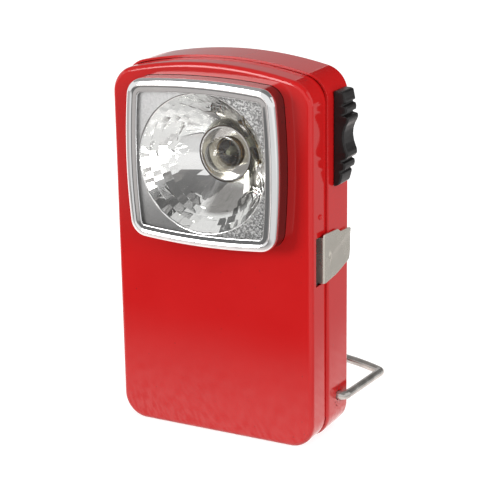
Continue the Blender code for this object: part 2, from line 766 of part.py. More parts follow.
def bulb_stem(parts, clear):
    """The glass bead that holds the two lead wires apart."""
    profile = [(0, 0), (STEM_RADIUS, 0), (STEM_RADIUS / 2, -STEM_LENGTH), (0, -STEM_LENGTH)]
    obj = turned("bulb_stem", profile, False, TURN_STEPS, parts)
    return smooth(place(obj, clear, (0, cap_front() + NECK_LENGTH / 2, LAMP_HEIGHT), TURNED_ALONG_Y))


def bulb_filament(parts, tungsten):
    """Two lead wires and the filament between them, one bent wire around the bead."""
    centre = bulb_centre()
    foot = cap_front() + NECK_LENGTH - GAP
    inside = NECK_RADIUS - GLASS_WALL - GAP - LEAD_RADIUS
    clear_of_stem = STEM_RADIUS + GAP + LEAD_RADIUS
    spread = (inside + clear_of_stem) / 2
    half = [(-spread, foot), (-spread, cap_front()), (-LEAD_SPREAD, centre)]
    path = half + [(0, centre - FILAMENT_SAG)] + [(-x, y) for x, y in reversed(half)]
    obj = wire("bulb_filament", [(x, y, 0) for x, y in path], LEAD_RADIUS, parts)
    return smooth(place(obj, tungsten, (0, 0, LAMP_HEIGHT)))


def wire(name, path, radius, collection):
    """A round wire through the points, its ends capped."""
    curve = bpy.data.curves.new(name + "_path", "CURVE")
    curve.dimensions = "3D"
    curve.bevel_depth = radius
    curve.bevel_resolution = 2
    curve.use_fill_caps = True
    spline = curve.splines.new("POLY")
    spline.points.add(len(path) - 1)
    for point, place_at in zip(spline.points, path):
        point.co = (*place_at, 1)
    holder = new_object(name + "_path", curve, collection)
    bpy.context.view_layer.update()
    return as_mesh(holder, name, collection)


def board_front():
    return collar_plane() + CUP_LIP_RISE + CUP_DEPTH + BOWL_WALL + BOARD_SETBACK


def strip_rivet_height():
    return LAMP_HEIGHT + BOARD_ABOVE - STRIP_FOOT_LENGTH / 2 - BOARD_CORNER


def contact_board(parts, cutters, fibre):
    """A fibre board on the sleeve, to which the centre contact is riveted."""
    low = -BOARD_BELOW
    high = BOARD_ABOVE
    side = BOARD_WIDTH / 2
    outline = []
    for x, z, start in ((side, low, -90), (side, high, 0), (-side, high, 90), (-side, low, 180)):
        centre = (x - math.copysign(BOARD_CORNER, x), z - math.copysign(BOARD_CORNER, z))
        outline += arc(centre, BOARD_CORNER, math.radians(start), math.radians(start + 90), FILLET_STEPS)
    obj = plate("contact_board", outline, BOARD_THICKNESS, parts)
    middle = board_front() + BOARD_THICKNESS / 2
    place(obj, fibre, (0, middle, LAMP_HEIGHT), ALONG_Y)
    sleeve = CAP_RADIUS + SLEEVE_CLEARANCE + BOWL_WALL + GAP
    length = BOARD_THICKNESS + 2 * OVERRUN
    cut(obj, rod("board_sleeve_hole", sleeve, length, (0, middle, LAMP_HEIGHT), ALONG_Y, cutters))
    cut(obj, rod(
        "board_rivet_hole", CONTACT_RIVET_RADIUS + GAP, length,
        (0, middle, strip_rivet_height()), ALONG_Y, cutters,
    ))
    return obj


def contact_strip(parts, cutters, brass):
    """The spring strip that presses on the bulb's centre contact."""
    foot = board_front() + BOARD_THICKNESS + GAP + STRIP_THICKNESS / 2
    back = tip_face() + GAP + STRIP_THICKNESS / 2
    top = strip_rivet_height() + STRIP_FOOT_LENGTH / 2
    knee = top - STRIP_FOOT_LENGTH
    path = [(foot, top), (foot, knee), (back, knee - STRIP_BEND_DROP), (back, LAMP_HEIGHT - STRIP_TAIL)]
    obj = ribbon("contact_strip", path, STRIP_WIDTH, STRIP_THICKNESS, parts)
    place(obj, brass, (0, 0, 0), (0, 0, math.radians(90)))
    cut(obj, rod(
        "strip_rivet_hole", CONTACT_RIVET_RADIUS + GAP, STRIP_THICKNESS + 2 * OVERRUN,
        (0, foot, strip_rivet_height()), ALONG_Y, cutters,
    ))
    return obj


def rivet(name, shank_radius, grip, head_radius, head_height, parts):
    """A rivet with a domed head at the bottom and a flat clinch at the top of its grip."""
    clinch = (shank_radius + head_radius) / 2
    turns = [math.radians(90) * step / DOME_STEPS for step in range(DOME_STEPS)]
    dome = [(head_radius * math.cos(turn), -head_height * math.sin(turn)) for turn in turns]
    profile = [(0, grip + head_height), (clinch, grip + head_height), (clinch, grip), (shank_radius, grip)]
    profile += [(shank_radius, 0)] + dome + [(0, -head_height)]
    return smooth(turned(name, profile, False, TURN_STEPS // 2, parts))


def contact_rivet(parts, brass):
    grip = BOARD_THICKNESS + STRIP_THICKNESS + 3 * GAP
    obj = rivet("contact_rivet", CONTACT_RIVET_RADIUS, grip, RIVET_HEAD_RADIUS, RIVET_HEAD_HEIGHT, parts)
    return place(obj, brass, (0, board_front() - GAP, strip_rivet_height()), TURNED_ALONG_Y)


def battery_box():
    """Lowest and highest corner of the battery's jacket, which rests between the rounded base corners."""
    side = HALF_WIDTH - SHEET - BATTERY_SIDE_ROOM
    front = FRONT_FACE + SHEET + BATTERY_FRONT_ROOM
    rear = REAR_FACE - SHEET - GAP
    corner = BASE_CORNER_RADIUS - SHEET - GAP
    out = side - (FRONT_HALF_WIDTH - BASE_CORNER_RADIUS)
    base = max(BASE_CORNER_RADIUS - math.sqrt(corner ** 2 - out ** 2), EDGE_RADIUS + GAP)
    return (-side, front, base), (side, rear, LAMP_HEIGHT - BATTERY_TOP_ROOM)


def battery_outline(inset):
    """Top view of three round cells in a row, wrapped tight."""
    low, high = battery_box()
    radius = BATTERY_CORNER_RADIUS
    outline = []
    corners = ((high[0], low[1], -90), (high[0], high[1], 0), (low[0], high[1], 90), (low[0], low[1], 180))
    for x, y, start in corners:
        centre = (x - math.copysign(radius, x), y - math.copysign(radius, y - (low[1] + high[1]) / 2))
        outline += arc(centre, radius - inset, math.radians(start), math.radians(start + 90), FILLET_STEPS)
    return outline


def battery_jacket(parts, card):
    low, high = battery_box()
    obj = plate("battery_jacket", battery_outline(0), high[2] - low[2], parts)
    return place(obj, card, (0, 0, (low[2] + high[2]) / 2))


def lid_top():
    return battery_box()[1][2] + GAP + LID_THICKNESS


def battery_lid(parts, pitch):
    obj = plate("battery_lid", battery_outline(LID_INSET), LID_THICKNESS, parts)
    return place(obj, pitch, (0, 0, lid_top() - LID_THICKNESS / 2))


def terminal_short(parts, brass):
    """A straight brass strip that leans over to the lamp's centre contact."""
    start = lid_top() + GAP
    half = TERMINAL_WIDTH / 2
    left = -SHORT_TERMINAL_OFFSET
    outline = [
        (left - half, start), (left + half, start), (half, start + SHORT_TERMINAL_REACH - half),
        (half, start + SHORT_TERMINAL_REACH), (-half, start + SHORT_TERMINAL_REACH),
    ]
    obj = plate("battery_terminal_short", outline, TERMINAL_THICKNESS, parts)
    behind_strip = tip_face() + GAP + STRIP_THICKNESS + GAP + TERMINAL_THICKNESS / 2
    return place(obj, brass, (0, behind_strip, 0), ALONG_Y)


def terminal_long(parts, brass):
    """The long brass strip, bent out to the switch's contact plate."""
    start = lid_top() + GAP
    reach = contact_plate_face() - 2 * GAP - TERMINAL_THICKNESS / 2
    path = [
        (LONG_TERMINAL_OFFSET, start), (LONG_TERMINAL_OFFSET, start + LONG_TERMINAL_STAND),
        (reach, start + LONG_TERMINAL_RISE / 2), (reach, start + LONG_TERMINAL_RISE),
    ]
    obj = ribbon("battery_terminal_long", path, TERMINAL_WIDTH, TERMINAL_THICKNESS, parts)
    return place(obj, brass, (0, REAR_MIDDLE, 0))


def battery_liner(parts, card):
    """The insulating card on the rear wall, behind the terminals."""
    rear = REAR_FACE - SHEET - GAP
    low = lid_top() + GAP
    obj = box(
        "battery_liner", (-LINER_WIDTH / 2, rear - LINER_THICKNESS, low),
        (LINER_WIDTH / 2, rear, low + LINER_HEIGHT), parts,
    )
    return place(obj, card, obj.location.copy())


def inner_side():
    return HALF_WIDTH - SHEET


def contact_plate_face():
    """Inner face of the fixed contact plate on the right wall."""
    return inner_side() - 2 * GAP - SWITCH_BOARD_THICKNESS - PLATE_THICKNESS


def plate_top():
    """The moving contact stops short of the plate when the switch is up."""
    return SWITCH_HEIGHT - BRIDGE_LENGTH / 2 - CONTACT_LEAD


def switch_board(parts, cutters, fibre):
    outer = inner_side() - GAP
    half = PLATE_WIDTH / 2 + SWITCH_BOARD_MARGIN
    high = plate_top() + GAP
    low = plate_top() - PLATE_LENGTH - SWITCH_BOARD_MARGIN
    obj = box(
        "switch_board", (outer - SWITCH_BOARD_THICKNESS, REAR_MIDDLE - half, low),
        (outer, REAR_MIDDLE + half, high), parts,
    )
    place(obj, fibre, obj.location.copy())
    for height in plate_rivet_heights():
        cut(obj, plate_rivet_hole(height, cutters))
    return obj


def plate_rivet_heights():
    middle = plate_top() - PLATE_LENGTH / 2
    return (middle - PLATE_RIVET_SPACING / 2, middle + PLATE_RIVET_SPACING / 2)


def plate_rivet_hole(height, cutters):
    length = PLATE_THICKNESS + SWITCH_BOARD_THICKNESS + 2 * OVERRUN
    place_at = (contact_plate_face() + GAP, REAR_MIDDLE, height)
    return rod("plate_rivet_hole", SWITCH_PIN_RADIUS + GAP, length, place_at, TURNED_ALONG_X, cutters)


def switch_plate(parts, cutters, brass):
    """The fixed contact that the long battery strip rests on."""
    inner = contact_plate_face()
    half = PLATE_WIDTH / 2
    obj = box(
        "switch_plate", (inner, REAR_MIDDLE - half, plate_top() - PLATE_LENGTH),
        (inner + PLATE_THICKNESS, REAR_MIDDLE + half, plate_top()), parts,
    )
    place(obj, brass, obj.location.copy())
    for height in plate_rivet_heights():
        cut(obj, plate_rivet_hole(height, cutters))
    return obj


def switch_rivets(parts, brass):
    """Two eyelets that hold the contact plate to its board."""
    rivets = []
    grip = PLATE_THICKNESS + GAP
    for height, label in zip(plate_rivet_heights(), ("lower", "upper")):
        profile = [
            (0, grip + SWITCH_BOARD_THICKNESS), (SWITCH_PIN_RADIUS, grip + SWITCH_BOARD_THICKNESS),
            (SWITCH_PIN_RADIUS, -GAP / 2), (2 * SWITCH_PIN_RADIUS, -GAP / 2), (2 * SWITCH_PIN_RADIUS, -GAP),
            (0, -GAP),
        ]
        obj = turned("switch_rivet_" + label, profile, False, TURN_STEPS // 2, parts)
        rivets.append(place(obj, brass, (contact_plate_face(), REAR_MIDDLE, height), TURNED_ALONG_X))
    return rivets


def switch_slider(parts, cutters, plastic):
    """The ribbed thumb grip and the stem that goes through the case."""
    base = GAP
    low = SWITCH_HEIGHT - SLIDER_LENGTH / 2
    outline = [(base, SLIDER_LENGTH), (base, 0)]
    outline += [(SLIDER_RISE * rise, SLIDER_LENGTH * along) for along, rise in GRIP_SHARES]
    obj = plate("switch_slider", outline, SLIDER_WIDTH, parts)
    place(obj, plastic, (HALF_WIDTH, REAR_MIDDLE, low), ALONG_Y)
    edge = obj.modifiers.new("edge", "BEVEL")
    edge.width = SLIDER_EDGE
    edge.segments = 1
    edge.limit_method = "ANGLE"
    edge.angle_limit = math.radians(80)
    half = STEM_WIDTH / 2
    stem_end = bridge_face() + BRIDGE_THICKNESS + GAP
    join(obj, box(
        "slider_stem", (stem_end, REAR_MIDDLE - half, SWITCH_HEIGHT - half),
        (HALF_WIDTH + SLIDER_RISE / 2, REAR_MIDDLE + half, SWITCH_HEIGHT + half), cutters,
    ))
    cut(obj, rod(
        "slider_pin_hole", SWITCH_PIN_RADIUS + GAP / 2, 2 * (HALF_WIDTH - stem_end),
        (stem_end, REAR_MIDDLE, SWITCH_HEIGHT), TURNED_ALONG_X, cutters,
    ))
    return obj


def bridge_face():
    """Inner face of the moving contact, which clears the fixed one."""
    return contact_plate_face() - GAP - GAP - BRIDGE_THICKNESS


def switch_bridge(parts, cutters, brass):
    """The moving contact on the inner end of the stem."""
    half = BRIDGE_WIDTH / 2
    inner = bridge_face()
    obj = box(
        "switch_bridge", (inner, REAR_MIDDLE - half, SWITCH_HEIGHT - BRIDGE_LENGTH / 2),
        (inner + BRIDGE_THICKNESS, REAR_MIDDLE + half, SWITCH_HEIGHT + BRIDGE_LENGTH / 2), parts,
    )
    place(obj, brass, obj.location.copy())
    cut(obj, rod(
        "bridge_pin_hole", SWITCH_PIN_RADIUS + GAP / 2, BRIDGE_THICKNESS + 2 * OVERRUN,
        (inner, REAR_MIDDLE, SWITCH_HEIGHT), TURNED_ALONG_X, cutters,
    ))
    return obj


def switch_pin(parts, steel):
    """The rivet that holds the moving contact to the stem."""
    stem_end = bridge_face() + BRIDGE_THICKNESS + GAP
    depth = HALF_WIDTH - stem_end - GAP
    grip = BRIDGE_THICKNESS + GAP + depth
    profile = [
        (0, grip), (SWITCH_PIN_RADIUS, grip), (SWITCH_PIN_RADIUS, -GAP / 2),
        (2 * SWITCH_PIN_RADIUS, -GAP / 2), (2 * SWITCH_PIN_RADIUS, -GAP - SHEET), (0, -GAP - SHEET),
    ]
    obj = turned("switch_pin", profile, False, TURN_STEPS // 2, parts)
    return place(obj, steel, (bridge_face(), REAR_MIDDLE, SWITCH_HEIGHT), TURNED_ALONG_X)


def latch_plate_face():
    """Inner face of the latch plate, just clear of the rear tray."""
    return HALF_WIDTH + GAP


def latch_leg_face():
    """Front face of the latch's leg, which passes through the slot in the front tray."""
    return FRONT_FACE + LATCH_SETBACK


def latch_leg_height():
    """Middle of the leg, which hangs a little lower than the plate."""
    return LATCH_HEIGHT - LATCH_LEG_DROP


def curl_radius():
    return LATCH_PIN_RADIUS + LATCH_PIN_PLAY + LATCH_THICKNESS


def latch_axis():
    """The latch turns on a pin just inside the front tray's wall."""
    wall = FRONT_HALF_WIDTH - SHEET
    return wall - GAP - curl_radius(), latch_leg_face() + curl_radius()


def latch_clip(parts, cutters, nickel):
    """A spring plate: a curl on the pin, a leg out through the slot, and the flat thumb plate."""
    axis = latch_axis()
    outside = curl_radius()
    inside = outside - LATCH_THICKNESS
    plate_in = latch_plate_face()
    front = latch_leg_face()
    rear = REAR_FACE - LATCH_REAR_MARGIN
    start = math.radians(-90)
    end = math.radians(-330)
    section = [(plate_in + LATCH_THICKNESS, rear), (plate_in, rear), (plate_in, front + LATCH_THICKNESS)]
    section += arc(axis, inside, start, end, ARC_STEPS) + arc(axis, outside, end, start, ARC_STEPS)
    section += [(plate_in + LATCH_THICKNESS / 2, front)]
    section += [(plate_in + LATCH_THICKNESS, front + LATCH_THICKNESS / 2)]
    widest = max(LATCH_FRONT_WIDTH * LATCH_WIDEST_SHARE, LATCH_LEG_WIDTH + 2 * (LATCH_LEG_DROP + OVERRUN))
    obj = plate("latch_clip", section, widest, parts)
    place(obj, nickel, (0, 0, LATCH_HEIGHT))
    length = rear - front
    half = LATCH_FRONT_WIDTH / 2
    before = front - 2 * outside
    outline = [(front + length * along, half * up) for along, up in LATCH_TOP_SHARES]
    outline += [(rear, half / 2 - LATCH_REAR_WIDTH * 3 / 4)]
    outline += [(front + length * along, half * up) for along, up in LATCH_BASE_SHARES]
    outline += [(before, half * LATCH_BASE_SHARES[-1][1]), (before, half * LATCH_TOP_SHARES[0][1])]
    silhouette = plate("latch_silhouette", outline, 4 * (plate_in - axis[0]), cutters)
    silhouette.rotation_euler = ALONG_X
    silhouette.location = (plate_in, 0, LATCH_HEIGHT)
    change(obj, silhouette, "INTERSECT")
    for side, label in ((-1, "below"), (1, "above")):
        edge = latch_leg_height() + side * LATCH_LEG_WIDTH / 2
        low, high = sorted((edge, LATCH_HEIGHT + side * widest))
        cut(obj, box(
            "latch_shoulder_" + label, (axis[0] - 2 * outside, before, low), (plate_in, rear, high), cutters
        ))
    join(obj, latch_dimple(cutters))
    return smooth(obj)


def latch_dimple(cutters):
    """The pressed oval on the plate, over the seam."""
    reach = LATCH_DIMPLE_LENGTH / 2
    rise = LATCH_DIMPLE_RISE + LATCH_THICKNESS / 2
    dome = [(reach * math.sin(turn), rise * math.cos(turn)) for turn in quarter_turns()]
    profile = dome + [(reach, -LATCH_THICKNESS / 4), (0, -LATCH_THICKNESS / 4)]
    dimple = turned("latch_dimple", profile, False, TURN_STEPS, cutters)
    dimple.location = (latch_plate_face() + LATCH_THICKNESS / 2, SEAM, LATCH_HEIGHT)
    dimple.rotation_euler = TURNED_ALONG_X
    dimple.scale = (1, LATCH_DIMPLE_WIDTH / LATCH_DIMPLE_LENGTH, 1)
    return dimple


def quarter_turns():
    return [math.radians(90) * step / ARC_STEPS for step in range(ARC_STEPS + 1)]


def latch_pin(parts, steel):
    axis = latch_axis()
    half = LATCH_LEG_WIDTH / 2 + LATCH_SLOT_MARGIN + BRACKET_THICKNESS + GAP
    profile = [(0, half), (LATCH_PIN_RADIUS, half), (LATCH_PIN_RADIUS, -half), (0, -half)]
    obj = turned("latch_pin", profile, False, TURN_STEPS // 2, parts)
    return smooth(place(obj, steel, (*axis, latch_leg_height())))


def latch_rivet_height():
    return LATCH_HEIGHT + LATCH_FRONT_WIDTH / 2 + LATCH_RIVET_ABOVE


def latch_bracket(parts, cutters, steel):
    """The bracket inside the front tray that holds both ends of the latch's pin."""
    axis = latch_axis()
    outer = FRONT_HALF_WIDTH - SHEET - GAP
    inner = outer - BRACKET_THICKNESS
    rear = axis[1] + curl_radius() + GAP
    ear = latch_leg_height() + LATCH_LEG_WIDTH / 2 + GAP
    pad_low = ear
    pad_high = latch_rivet_height() + BRACKET_PAD_HEIGHT / 2
    drop = latch_leg_height() - LATCH_LEG_WIDTH / 2 - GAP - BRACKET_THICKNESS
    obj = box("latch_bracket", (inner, rear, drop), (outer, rear + BRACKET_STRIP_WIDTH, pad_high), parts)
    place(obj, steel, obj.location.copy())
    front = latch_leg_face() - BRACKET_PAD_WIDTH / 2
    back = rear + BRACKET_STRIP_WIDTH
    join(obj, box("bracket_pad", (inner, front, pad_low), (outer, back, pad_high), cutters))
    reach = axis[0] - curl_radius()
    for low in (ear, drop):
        join(obj, box(
            "bracket_ear", (reach, front, low), (outer, back, low + BRACKET_THICKNESS), cutters
        ))
    length = LATCH_LEG_WIDTH + 2 * (LATCH_SLOT_MARGIN + OVERRUN + BRACKET_THICKNESS)
    middle = (*axis, latch_leg_height())
    cut(obj, rod("bracket_pin_hole", LATCH_PIN_RADIUS + LATCH_PIN_PLAY, length, middle, (0, 0, 0), cutters))
    cut(obj, rod(
        "bracket_rivet_hole", LATCH_RIVET_RADIUS + GAP, BRACKET_THICKNESS + 2 * OVERRUN,
        (inner, latch_leg_face(), latch_rivet_height()), TURNED_ALONG_X, cutters,
    ))
    return obj


def latch_rivet(parts, paint):
    """The painted rivet above the slot, its head outside."""
    grip = SHEET + BRACKET_THICKNESS + GAP + 2 * GAP
    obj = rivet("latch_rivet", LATCH_RIVET_RADIUS, grip, LATCH_RIVET_HEAD, LATCH_RIVET_RISE, parts)
    place_at = (FRONT_HALF_WIDTH + GAP, latch_leg_face(), latch_rivet_height())
    return place(obj, paint, place_at, (0, math.radians(-90), 0))


def hinge_axis():
    """The pin stands outside the left wall, level with the seam."""
    return -(HALF_WIDTH + GAP + KNUCKLE_RADIUS), SEAM - GAP / 2


def hinge_rivet_heights():
    return (HINGE_HEIGHT - HINGE_RIVET_SPACING / 2, HINGE_HEIGHT + HINGE_RIVET_SPACING / 2)


def rivet_hole(name, wall, across, height, cutters):
    length = 2 * (SHEET + HINGE_SHEET + OVERRUN)
    return rod(name, HINGE_RIVET_RADIUS + GAP, length, (wall, across, height), TURNED_ALONG_X, cutters)


def leaf_section(toward, joggle):
    """Plan of a hinge leaf: a curl round the pin, then a flat that steps in by the joggle."""
    axis = hinge_axis()
    inside = KNUCKLE_RADIUS - HINGE_SHEET
    end = math.radians(-300) * toward
    curl = arc(axis, KNUCKLE_RADIUS, 0, end, 2 * ARC_STEPS)
    back = arc(axis, inside, end, 0, 2 * ARC_STEPS)
    step = axis[1] + toward * LEAF_JOGGLE_START
    level = step + toward * LEAF_JOGGLE_LENGTH
    tip = axis[1] + toward * LEAF_REACH
    shell_side = axis[0] + KNUCKLE_RADIUS
    free_side = axis[0] + inside
    lead_in = [(shell_side + joggle, tip), (shell_side + joggle, level), (shell_side, step)]
    lead_out = [(free_side, step), (free_side + joggle, level), (free_side + joggle, tip)]
    return lead_in + curl + back + lead_out


def hinge_leaf(name, toward, joggle, wall, taken, parts, cutters, nickel):
    """One leaf, its curl cut away where the other leaf's knuckles turn."""
    axis = hinge_axis()
    obj = plate(name, leaf_section(toward, joggle), HINGE_LENGTH, parts)
    place(obj, nickel, (0, 0, HINGE_HEIGHT))
    pitch = HINGE_LENGTH / HINGE_KNUCKLES
    room = KNUCKLE_RADIUS + GAP
    for index in taken:
        low = HINGE_HEIGHT - HINGE_LENGTH / 2 + index * pitch - GAP / 2
        start = low - OVERRUN if index == 0 else low
        stop = low + pitch + GAP + (OVERRUN if index == HINGE_KNUCKLES - 1 else 0)
        cut(obj, box(
            name + "_room", (axis[0] - room, axis[1] - room, start),
            (axis[0] + room, axis[1] + room, stop), cutters,
        ))
    for height in hinge_rivet_heights():
        cut(obj, rivet_hole(name + "_hole", wall, axis[1] + toward * HINGE_RIVET_REACH, height, cutters))
    return obj


def hinge_pin(parts, steel):
    radius = KNUCKLE_RADIUS - HINGE_SHEET - HINGE_PIN_PLAY
    half = HINGE_LENGTH / 2 + GAP
    head = KNUCKLE_RADIUS
    profile = [
        (0, half + SHEET), (head, half + SHEET), (head, half), (radius, half), (radius, -half), (head, -half),
        (head, -half - SHEET), (0, -half - SHEET),
    ]
    obj = turned("hinge_pin", profile, False, TURN_STEPS // 2, parts)
    return smooth(place(obj, steel, (*hinge_axis(), HINGE_HEIGHT)))


def hinge_rivets(side, wall, across, parts, nickel):
    rivets = []
    grip = SHEET + HINGE_SHEET + 3 * GAP
    for height, label in zip(hinge_rivet_heights(), ("lower", "upper")):
        name = "hinge_rivet_" + side + "_" + label
        obj = rivet(name, HINGE_RIVET_RADIUS, grip, HINGE_RIVET_HEAD, HINGE_RIVET_RISE, parts)
        outside = wall - GAP - HINGE_SHEET - GAP
        rivets.append(place(obj, nickel, (outside, across, height), TURNED_ALONG_X))
    return rivets


def wire_bail(parts, nickel):
    """A round wire: an end in each wall, an elbow, a leg back, and a bowed grip between the legs."""
    leg = HALF_WIDTH + BAIL_SIDE_ROOM + BAIL_WIRE_RADIUS
    apex = BAIL_LEG_LENGTH + BAIL_BOW
    corner, turn = crowned_corner(leg, apex, BAIL_BOW, BAIL_CORNER_RADIUS)
    low, radius = crown_circle(leg, apex, BAIL_BOW)
    elbow = (leg - BAIL_ELBOW_RADIUS, BAIL_ELBOW_RADIUS)
    half = [(HALF_WIDTH - SHEET - BAIL_END_LENGTH, 0)]
    half += arc(elbow, BAIL_ELBOW_RADIUS, math.radians(-90), 0, FILLET_STEPS)
    half += arc(corner, BAIL_CORNER_RADIUS, 0, turn, ARC_STEPS)
    grip = arc((0, low), radius, turn, math.pi - turn, 2 * CROWN_STEPS)[1:-1]
    path = half + grip + [(-x, y) for x, y in reversed(half)]
    obj = wire("wire_bail", [(x, y, 0) for x, y in path], BAIL_WIRE_RADIUS, parts)
    return smooth(place(obj, nickel, (0, REAR_MIDDLE, BAIL_HEIGHT), (-BAIL_DROOP, 0, 0)))


def build():
    clear_scene()
    parts = make_collection("pocket_torch")
    cutters = make_collection("cutters")

    paint = principled("red_enamel", (0.52, 0.012, 0.012), 0.12)
    chrome = principled("chrome", (0.80, 0.80, 0.80), 0.06, 1.0)
    mirror = principled("aluminised_mirror", (0.85, 0.85, 0.84), 0.08, 1.0)
    clear = principled("clear_glass", (0.95, 0.95, 0.95), 0.03, 0.0, 1.0)
    brass = principled("brass", (0.70, 0.50, 0.20), 0.30, 1.0)
    nickel = principled("nickel_plate", (0.62, 0.58, 0.52), 0.25, 1.0)
    steel = principled("bright_steel", (0.55, 0.55, 0.55), 0.35, 1.0)
    plastic = principled("black_plastic", (0.012, 0.012, 0.013), 0.35)
    fibre = principled("brown_fibre", (0.22, 0.09, 0.04), 0.70)
    card = principled("blue_card", (0.05, 0.12, 0.30), 0.80)
    pitch = principled("black_pitch", (0.02, 0.02, 0.02), 0.60)
    tin = principled("tin_solder", (0.60, 0.60, 0.58), 0.40, 1.0)

    rear_shell(parts, cutters, paint)
    battery_jacket(parts, card)
    battery_lid(parts, pitch)
    terminal_short(parts, brass)
    terminal_long(parts, brass)
    battery_liner(parts, fibre)
    switch_board(parts, cutters, fibre)
    switch_plate(parts, cutters, brass)
    switch_rivets(parts, brass)
    outer = range(0, HINGE_KNUCKLES, 2)
    inner = range(1, HINGE_KNUCKLES, 2)
    hinge_leaf("hinge_leaf_rear", 1, 0, -HALF_WIDTH, inner, parts, cutters, nickel)
    hinge_pin(parts, steel)
    hinge_rivets("rear", -HALF_WIDTH, hinge_axis()[1] + HINGE_RIVET_REACH, parts, nickel)

    door = [
        front_shell(parts, cutters, paint),
        bezel(parts, chrome),
        lens(parts, clear),
        reflector(parts, cutters, mirror),
        retaining_frame(parts, steel),
        bulb_holder(parts, brass),
        bulb_glass(parts, clear),
        bulb_cap(parts, brass),
        bulb_vitrite(parts, pitch),
        bulb_tip(parts, tin),
        bulb_stem(parts, clear),
        bulb_filament(parts, steel),
        contact_board(parts, cutters, fibre),
        contact_strip(parts, cutters, brass),
        contact_rivet(parts, brass),
        hinge_leaf(
            "hinge_leaf_front", -1, SHEET + GAP, -FRONT_HALF_WIDTH, outer, parts, cutters, nickel
        ),
        latch_bracket(parts, cutters, steel),
        latch_rivet(parts, paint),
        latch_pin(parts, steel),
    ]
    door += hinge_rivets("front", -FRONT_HALF_WIDTH, hinge_axis()[1] - HINGE_RIVET_REACH, parts, nickel)
    carried_by(pivot_at("front_case_pivot", (*hinge_axis(), 0), parts), door)

    latch = latch_clip(parts, cutters, nickel)
    carried_by(pivot_at("latch_pivot", (*latch_axis(), LATCH_HEIGHT), parts), [latch])

    slider = [
        switch_slider(parts, cutters, plastic),
        switch_bridge(parts, cutters, brass),
        switch_pin(parts, steel),
    ]
    carried_by(pivot_at("switch_pivot", (HALF_WIDTH, REAR_MIDDLE, SWITCH_HEIGHT), parts), slider)

    wire_bail(parts, nickel)


build()
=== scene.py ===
import math
import random

import bmesh
import bpy
from mathutils import Matrix, Vector


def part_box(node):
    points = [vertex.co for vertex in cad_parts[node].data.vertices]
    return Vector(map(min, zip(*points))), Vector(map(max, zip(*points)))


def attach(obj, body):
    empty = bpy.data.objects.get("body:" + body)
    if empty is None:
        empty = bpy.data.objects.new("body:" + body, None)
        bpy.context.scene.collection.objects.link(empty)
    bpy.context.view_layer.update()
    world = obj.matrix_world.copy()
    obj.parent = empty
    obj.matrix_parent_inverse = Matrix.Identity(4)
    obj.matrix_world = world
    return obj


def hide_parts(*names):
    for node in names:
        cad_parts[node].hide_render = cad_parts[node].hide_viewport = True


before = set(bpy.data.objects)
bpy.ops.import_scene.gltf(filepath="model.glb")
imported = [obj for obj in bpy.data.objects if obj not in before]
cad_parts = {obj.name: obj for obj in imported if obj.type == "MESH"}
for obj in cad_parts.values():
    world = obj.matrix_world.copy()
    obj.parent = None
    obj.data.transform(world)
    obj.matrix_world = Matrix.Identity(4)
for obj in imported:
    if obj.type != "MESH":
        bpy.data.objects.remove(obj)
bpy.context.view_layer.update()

# Camera: in front of the torch, turned towards its switch side and a little above it.
# A long lens keeps the case's edges almost parallel.
yaw, pitch, roll = (math.radians(angle) for angle in (27.614, 17.110, -0.820))
camera_distance = 0.544083
camera_aim = (0.006052, 0.056770)
back = Vector((math.sin(yaw) * math.cos(pitch), -math.cos(yaw) * math.cos(pitch), math.sin(pitch)))
level = Vector((math.cos(yaw), math.sin(yaw), 0))
upright = back.cross(level)
right = math.cos(roll) * level + math.sin(roll) * upright
up = math.cos(roll) * upright - math.sin(roll) * level
stand = Matrix((right, up, back)).transposed().to_4x4()
stand.translation = camera_aim[0] * level + camera_aim[1] * upright + camera_distance * back
camera = bpy.data.objects.new("camera", bpy.data.cameras.new("camera"))
camera.data.lens = 115.9
camera.data.sensor_width = 36
camera.matrix_world = stand
bpy.context.scene.collection.objects.link(camera)
bpy.context.scene.camera = camera

